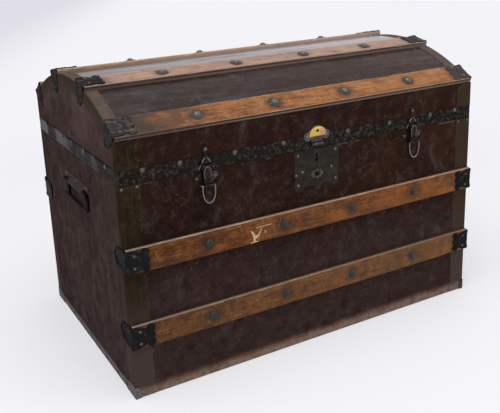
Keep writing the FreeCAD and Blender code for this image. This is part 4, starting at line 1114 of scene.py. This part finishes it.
def makeHasp(rise, lobe, lobeAt, drum, hole, tab, tabLow, thick, knuckle, dome, brass):
    place = onFront(0, lidRim + rise, 0.0012)
    right = [(tab, tabLow), (tab, -0.0118)] + arc(*lobeAt, lobe, -128, 78, 22)
    stock, rings, cover, shade = Stock(), Stock(), Stock(), Stock()
    stock.plate([mirrored(right + arc(0, 0, drum, 31, 90, 10))], thick, 0.0004, place)
    stock.tube([(x, tabLow - 0.0015, knuckle - 0.0006 + thick / 2)
                for x in (-tab, -0.004, 0.004, tab)], knuckle * 0.92, 20, place)
    stock.make("hasp_iron", "haspTin", "lid", "latch_iron", ["hasp_plate"])
    for side in (-1, 1):
        rings.tube([(side * x, y, thick + 0.0001)
                    for x, y in arc(*lobeAt, lobe * 0.84, -150, 150, 26)], 0.0007, 8, place)
        rings.turned([(0.0042, 0), (0.0036, 0.0007), (0.0018, 0.0012), (shut, 0.0013)],
                     moved(place, side * lobeAt[0], lobeAt[1], thick), 20)
    rings.make("hasp_rings", "studIron", "lid", "latch_iron")
    midX, low, half, tall = brass
    rows = []
    for i in range(27):  # flat below and round above, up from its lower edge
        s = min(1.0, max(0.0, (i - 1) / 24))
        y = low + tall * s
        wide = half * sqrt(max(0.0, 1.0 - s ** 2.3)) ** 0.9 + 0.0001
        row = []
        for t in spaced(-1, 1, 40):
            x = wide * t + midX
            edge = (1.0 - t ** 4) * (1.0 - s ** 5) * min(1.0, 0.35 + s * 6)
            crease = hump((x - 0.005) * 0.85 + (y - 0.003) * 0.3, 0.0013)
            lift = dome + 0.0005 * wander(x, y, 3.0, 0.009) - 0.0007 * crease
            lift = thick * 0.6 if i in (0, 26) or abs(t) == 1 else thick + lift * edge
            row.append(place @ Vector((x, y, lift)))
        rows.append(row)
    cover.grid(rows)
    cover.make("hasp_brass", "brassRubbed", "lid", "bright_brass")
    y, r = hole
    shade.turned([(r, 0), (r, 0.0014), (r * 0.8, 0.0018), (shut, 0.0018)],
                 moved(place, 0, y, thick + dome - 0.0014), 24)
    shade.make("hasp_hole_shade", "holeBlack", "lid", "latch_iron")


# draw latches
latchCut = dict(
    thick=0.0015, bevel=0.00035, headAt=0.038, head=0.006, barrel=0.0032, rise=0.007,
    lever=0.002, bailDrop=0.035, wire=0.00125, wireOut=0.0039,
    bell=[(0.016, 0.0016), (0.0148, 0.0044), (0.0118, 0.0088), (0.0092, 0.014),
          (0.0072, 0.018), (0.0046, 0.0205), (0.0033, 0.023), (0.0033, 0.0325)],
    tongue=[(0, 0.0024), (0.004, 0.002), (0.0068, 0), (0.008, -0.0045), (0.0085, -0.012),
            (0.0082, -0.02), (0.0076, -0.0262), (0.0085, -0.0322), (0.0085, -0.0378),
            (0.0067, -0.041), (0.0063, -0.048), (0.0061, -0.056), (0.0042, -0.0628),
            (0, -0.0649)],
    arch=[(0.0058, -0.0215), (0.0066, -0.015), (0.0062, -0.008), (0.004, -0.0022), (0, -0.0002)],
    loop=[(-0.0122, 0), (-0.0122, -0.008), (-0.0114, -0.016), (-0.0092, -0.0245),
          (-0.0048, -0.0308), (0.0002, -0.0328), (0.0054, -0.0315), (0.01, -0.0256),
          (0.0124, -0.016), (0.0127, -0.006), (0.0122, 0)],
    wing=[(0, 0.013), (0.008, 0.0132), (0.013, 0.0118), (0.017, 0.0098), (0.0225, 0.0092),
          (0.0249, 0.0056), (0.024, 0.0012), (0.0215, -0.002), (0.0168, -0.0046),
          (0.014, -0.0088), (0.01, -0.0128), (0, -0.0133)],
    curls=([(0.0098, 0.0052), (0.014, 0.0086), (0.019, 0.0092), (0.0238, 0.0064)],
           [(0.01, 0.001), (0.0135, 0.0036), (0.018, 0.0046), (0.0232, 0.0052)],
           [(0.0098, -0.004), (0.0138, -0.0028), (0.018, 0), (0.0222, 0.0022)]))


def makeLatch(hand, x, thick, bevel, headAt, head, barrel, rise, lever, bailDrop, wire, wireOut,
              bell, tongue, arch, loop, wing, curls):
    plate = onFront(x, lidRim, 0.0012)
    stock, trim = Stock(), Stock()
    high = headAt + head
    peaks = [(0.0053, high * 0.99), (0.004, high + 0.0034), (0.0027, high * 0.99),
             (0.0013, high * 0.99), (0, high + 0.0052)]
    stock.plate([mirrored(bell + arc(0, headAt, head, -56, 62, 12) + peaks)], thick, bevel, plate)
    turn = Matrix(((0, 0, 1), (0, 1, 0), (1, 0, 0))).to_4x4()
    cheek = [(-0.0014, 0), (0.003, 0)] + arc(0.0026, 0.007, 0.0032, -60, 90, 8)
    cheek += [(0.0016, 0.0142), (-0.0014, 0.015)]
    # the bell's raised edges and the rosette's centre boss in a lighter iron: partly rubbed bare,
    # partly painted highlight
    for side, near in ((-1, -0.0109), (1, 0.0089)):
        trim.tube(flow([(side * (a - 0.001), b) for a, b in bell[-2::-1]], 6, thick + 0.0003),
                  swell(0.0015, 0.7, 0.45), 10, plate)
        stock.plate([cheek], 0.002, 0.0003, moved(plate, near, 0.001, 0.0026) @ turn)
    for a in spokes(7):
        stock.turned([(0.0018, 0), (0.0015, 0.0008), (0.0007, 0.0013), (shut, 0.0014)],
                     moved(plate, 0.004 * cos(a), headAt + 0.004 * sin(a), thick), 14)
    trim.turned([(0.0021, 0), (0.0018, 0.0009), (0.0009, 0.0015), (shut, 0.0016)],
                moved(plate, 0, headAt, thick), 16)
    stock.make(f"latch_{hand}_hanger", "latchIron", "lid", "latch_iron", [f"latch_{hand}_bracket"])
    trim.make(f"latch_{hand}_hanger_edges", "latchRubbedAndHighlit", "lid", "latch_iron")

    stock, trim = Stock(), Stock()
    front = onFront(x, lidRim + rise, 0.0063)
    stock.tube([(a, 0, 0) for a in (-0.0085, -0.003, 0.003, 0.0085)], barrel, 22, front)
    holes = [arc(0, -0.024, 0.0023, 0, 340, 17), arc(0, -0.042, 0.0022, 0, 340, 17)]
    stock.plate([mirrored(inPlane(flow(tongue, 4)))] + holes, lever, 0.0004, front)
    bow = [(-a, b) for a, b in arch[:-1]] + arch[::-1]
    # the arch in the lighter iron: partly rubbed bare, partly painted highlight
    trim.tube(flow([(a, b, 0.0034 - 0.0013 * min(1.0, abs(b) / 0.006)) for a, b in bow], 6),
              swell(0.0009, 0.5, 0.6), 8, front)
    stock.tube([(a, -bailDrop, wireOut) for a in (-0.0101, -0.004, 0.004, 0.0101)], 0.0026, 20,
               front)
    stock.make(f"latch_{hand}_tongue", "latchIron", f"{hand}_latch", "latch_iron",
               [f"latch_{hand}_lever"])
    trim.make(f"latch_{hand}_arch", "latchRubbedAndHighlit", f"{hand}_latch", "latch_iron")

    stock = Stock()
    hook = [(-0.0158, 0.0014)] if hand == "left" else []
    ring = moved(front, 0, -bailDrop, wireOut)
    stock.tube(flow(hook + loop, 7), wire, place=ring)
    stock.tube([(a, 0, 0) for a in (-0.012, -0.004, 0.004, 0.012)], wire, place=ring)
    stock.make(f"latch_{hand}_wire", "wireSteel", f"{hand}_latch_bail", "steel_wire",
               [f"latch_{hand}_bail"])

    stock, trim = Stock(), Stock()
    face = onFront(x, boxRim - 0.0155)
    stock.plate([mirrored(inPlane(flow(wing, 4)))], thick, bevel, face)
    # painted light: the curls on the right of each wing are painted bright as a highlight, those on
    # the left stay dark in the plate's iron
    for side, piece in ((-1, stock), (1, trim)):
        for curl in curls:
            piece.tube(flow([(side * a, b) for a, b in curl], 6, 0.0018),
                       lambda t: 0.0009 * (1.1 - 0.6 * t), 8, face)
    stock.turned([(0.004, 0), (0.0038, 0.0008), (0.0026, 0.002), (shut, 0.0026)],
                 moved(face, 0, 0, thick))
    stock.make(f"latch_{hand}_wings", "latchIron", "box", "latch_iron", [f"latch_{hand}_keeper"])
    trim.make(f"latch_{hand}_curls", "latchRubbedAndHighlit" if hand == "left" else "studIron", "box",
              "latch_iron")


# end handles
handleCut = dict(half=0.0725, top=0.05, tall=0.013, thick=0.0015, barrel=0.004, leg=0.026,
                 gap=0.0004, legThick=0.003, drop=0.032, grip=0.0028, out=0.0045, axle=0.0174)


def makeHandle(side, hand, half, top, tall, thick, barrel, leg, gap, legThick, drop, grip, out,
               axle):
    place = onEnd(side, 0, boxRim - top)
    inner = half - leg - gap
    low, z = -tall, -axle
    stock = Stock()
    stock.plate([[(-half + 0.001, 0), (half - 0.001, 0), (half, -0.001), (half, low + 0.001),
                  (half - 0.001, low), (-half + 0.001, low), (-half, low + 0.001),
                  (-half, -0.001)]], thick, 0.0004, place)
    across = spaced(-inner, inner, 24)
    rows = [[place @ Vector((x, low + 0.0035, thick)) for x in across]]
    for k, (w, y) in enumerate(arc(out, z, barrel, 90, -195, 24)):  # the rolled lower edge
        rows.append([place @ Vector((x, y + 0.0001 * wander(s, k, side, 3.0), w))
                     for s, x in enumerate(across, -12)])
    stock.grid(rows)
    for end in (-1, 1):
        stock.turned([(0.0024, 0), (0.004, 0)],
                     place @ stand((end * inner, z, out), (0, 1, 0), (end, 0, 0)), 28)
    stock.make(f"handle_{hand}_hanger", "plateOlive", "box", "latch_iron",
               [f"handle_{hand}_plate"])
    stock = Stock()
    axis = moved(place, 0, z, out)
    stock.tube([(a, 0, 0) for a in (-half, -inner, 0, inner, half)], 0.002, 14, axis)
    for end in (-1, 1):
        far, near = end * half, end * (half - leg)
        line = [(near, 0), (near + end * 0.001, -0.012), (near + end * 0.0025, 0.003 - drop),
                (far - end * 0.0015, 0.002 - drop), (far - end * 0.0003, -0.012), (far, 0)]
        stock.plate([line[::end]], legThick, 0.0006, moved(axis, 0, 0, -legThick / 2))
        stock.tube([(a, 0, 0) for a in (near, (far + near) / 2, far)], 0.0035, 22, axis)
    bow = [(0.002 - half, 0.0012), (-half * 0.5, 0.0003), (0, 0), (half * 0.5, 0.0003),
           (half - 0.002, 0.0012)]
    stock.tube(flow([(a, b - drop) for a, b in bow], 8), grip, 18, axis)
    stock.make(f"handle_{hand}_loop", "handleIron", f"{hand}_handle", "black_iron",
               [f"handle_{hand}_bail"])


makeLidCover(**coverCut)
makeSlats(**slatCut)
makeCaps()
print("lid cover, slats and caps cut")
makeHeads()
makeSmallHeads()
makeBand(**bandCut)
makeBindings(**bindingCut)
makeFeet(**footCut)
print("heads, band, strips and shoes set")
makeLock(**lockCut)
makeHasp(**haspCut)
for side, hand in reversed(ends):
    makeLatch(hand, side * latchX, **latchCut)
for side, hand in reversed(ends):
    makeHandle(side, hand, **handleCut)
print("lock, latches and handles fitted")

dress(["body_canvas"], "canvas")
dress([n for n in nodes if n.endswith("_board") or "rail" in n or "staves" in n], "pine")
dress([n for n in nodes if "lining" in n], "paper")
dress([n for n in nodes if n.startswith("hinge_") and "leaf" in n] + ["lock_case"], "latchIron")
dress(["hinge_pins", "latch_pins", "lock_bolt"], "wireSteel")
print("frame parts dressed")


# room, light and camera
room = dict(floor=(0.925, 0.925, 0.945), far=(0.905, 0.898, 0.94),
            farLeft=(0.745, 0.735, 0.8), backdrop=(0.93, 0.925, 0.95), half=14.0, light=0.62)


def makeRoom(half, light):
    mesh = bpy.data.meshes.new("floorCloth")
    mesh.from_pydata([(-half, -half, 0), (half, -half, 0), (half, half, 0), (-half, half, 0)],
                     [], [(0, 1, 2, 3)])
    floor = linked("floorCloth", mesh)
    bench = Bench("paleFloor", room)
    x, y, z = bench.axes()
    cloth = bench.add("ShaderNodeBsdfDiffuse", {}, {"Color": "floor"})
    # painted shade: the far floor darker towards the left
    tone = bench.blend((x - y * 0.56).ease(-2.9, -1.4), "farLeft", "far")
    paper = bench.add("ShaderNodeEmission", {}, {"Color": tone, "Strength": 1.0})
    far = 0.46 + (x * x + y * y).ease(0.6, 4.0) * 0.54
    far = far * bench.add("ShaderNodeLightPath", out="Is Camera Ray")
    both = bench.add("ShaderNodeMixShader", {}, {0: far, 1: cloth, 2: paper})
    bench.add("ShaderNodeOutputMaterial", {}, {"Surface": both})
    mesh.materials.append(bench.mat)
    world = bpy.data.worlds.new("studio")
    bpy.context.scene.world = world
    world.use_nodes = True
    bench = Bench(look=room, tree=world.node_tree)
    seen = bench.add("ShaderNodeLightPath", out="Is Camera Ray")
    for ray in ("Is Glossy Ray", "Is Transmission Ray"):
        seen = seen.most(bench.add("ShaderNodeLightPath", out=ray))
    lit = bench.add("ShaderNodeBackground", {}, {"Color": (1, 1, 1), "Strength": light})
    shown = bench.add("ShaderNodeBackground", {}, {"Color": "backdrop"})
    both = bench.add("ShaderNodeMixShader", {}, {0: seen, 1: lit, 2: shown})
    bench.add("ShaderNodeOutputWorld", {}, {"Surface": both})
    bpy.context.scene.view_settings.view_transform = "Standard"


# place, size and power
lamps = {"overhead": ((-0.4, -0.6, 3.0), 2.6, 42.0), "leftSoft": ((-2.6, -1.6, 1.9), 2.8, 16.5),
         "rightSoft": ((2.4, -2.2, 1.6), 2.8, 16.5)}


def makeLamps():
    for name, (place, size, power) in lamps.items():
        data = bpy.data.lights.new(name, "AREA")
        data.shape = "DISK"
        data.size = size
        data.energy = power
        rig = linked(name, data)
        rig.location = place
        way = Vector((0, 0, 0.3)) - Vector(place)
        rig.rotation_euler = way.to_track_quat("-Z", "Y").to_euler()


eye = dict(place=(-0.79639, -1.41087, 0.82001), azimuth=-29.163, elevation=15.944, roll=-2.101,
           lens=54.243, shiftY=-0.12)


def makeCamera(place, azimuth, elevation, roll, lens, shiftY):
    data = bpy.data.cameras.new("camera")
    data.sensor_width = 36.0
    data.lens = lens
    data.shift_y = shiftY
    rig = linked("camera", data)
    a, e, r = map(radians, (azimuth, elevation, roll))
    back = Vector((sin(a) * cos(e), -cos(a) * cos(e), sin(e)))
    right = Vector((0, 0, 1)).cross(back).normalized()
    up = back.cross(right)
    turn = Matrix((right * cos(r) + up * sin(r), up * cos(r) - right * sin(r), back))
    rig.matrix_world = Matrix.Translation(place) @ turn.transposed().to_4x4()
    bpy.context.scene.camera = rig


makeRoom(room["half"], room["light"])
makeLamps()
makeCamera(**eye)
print("room, lamps and camera set")
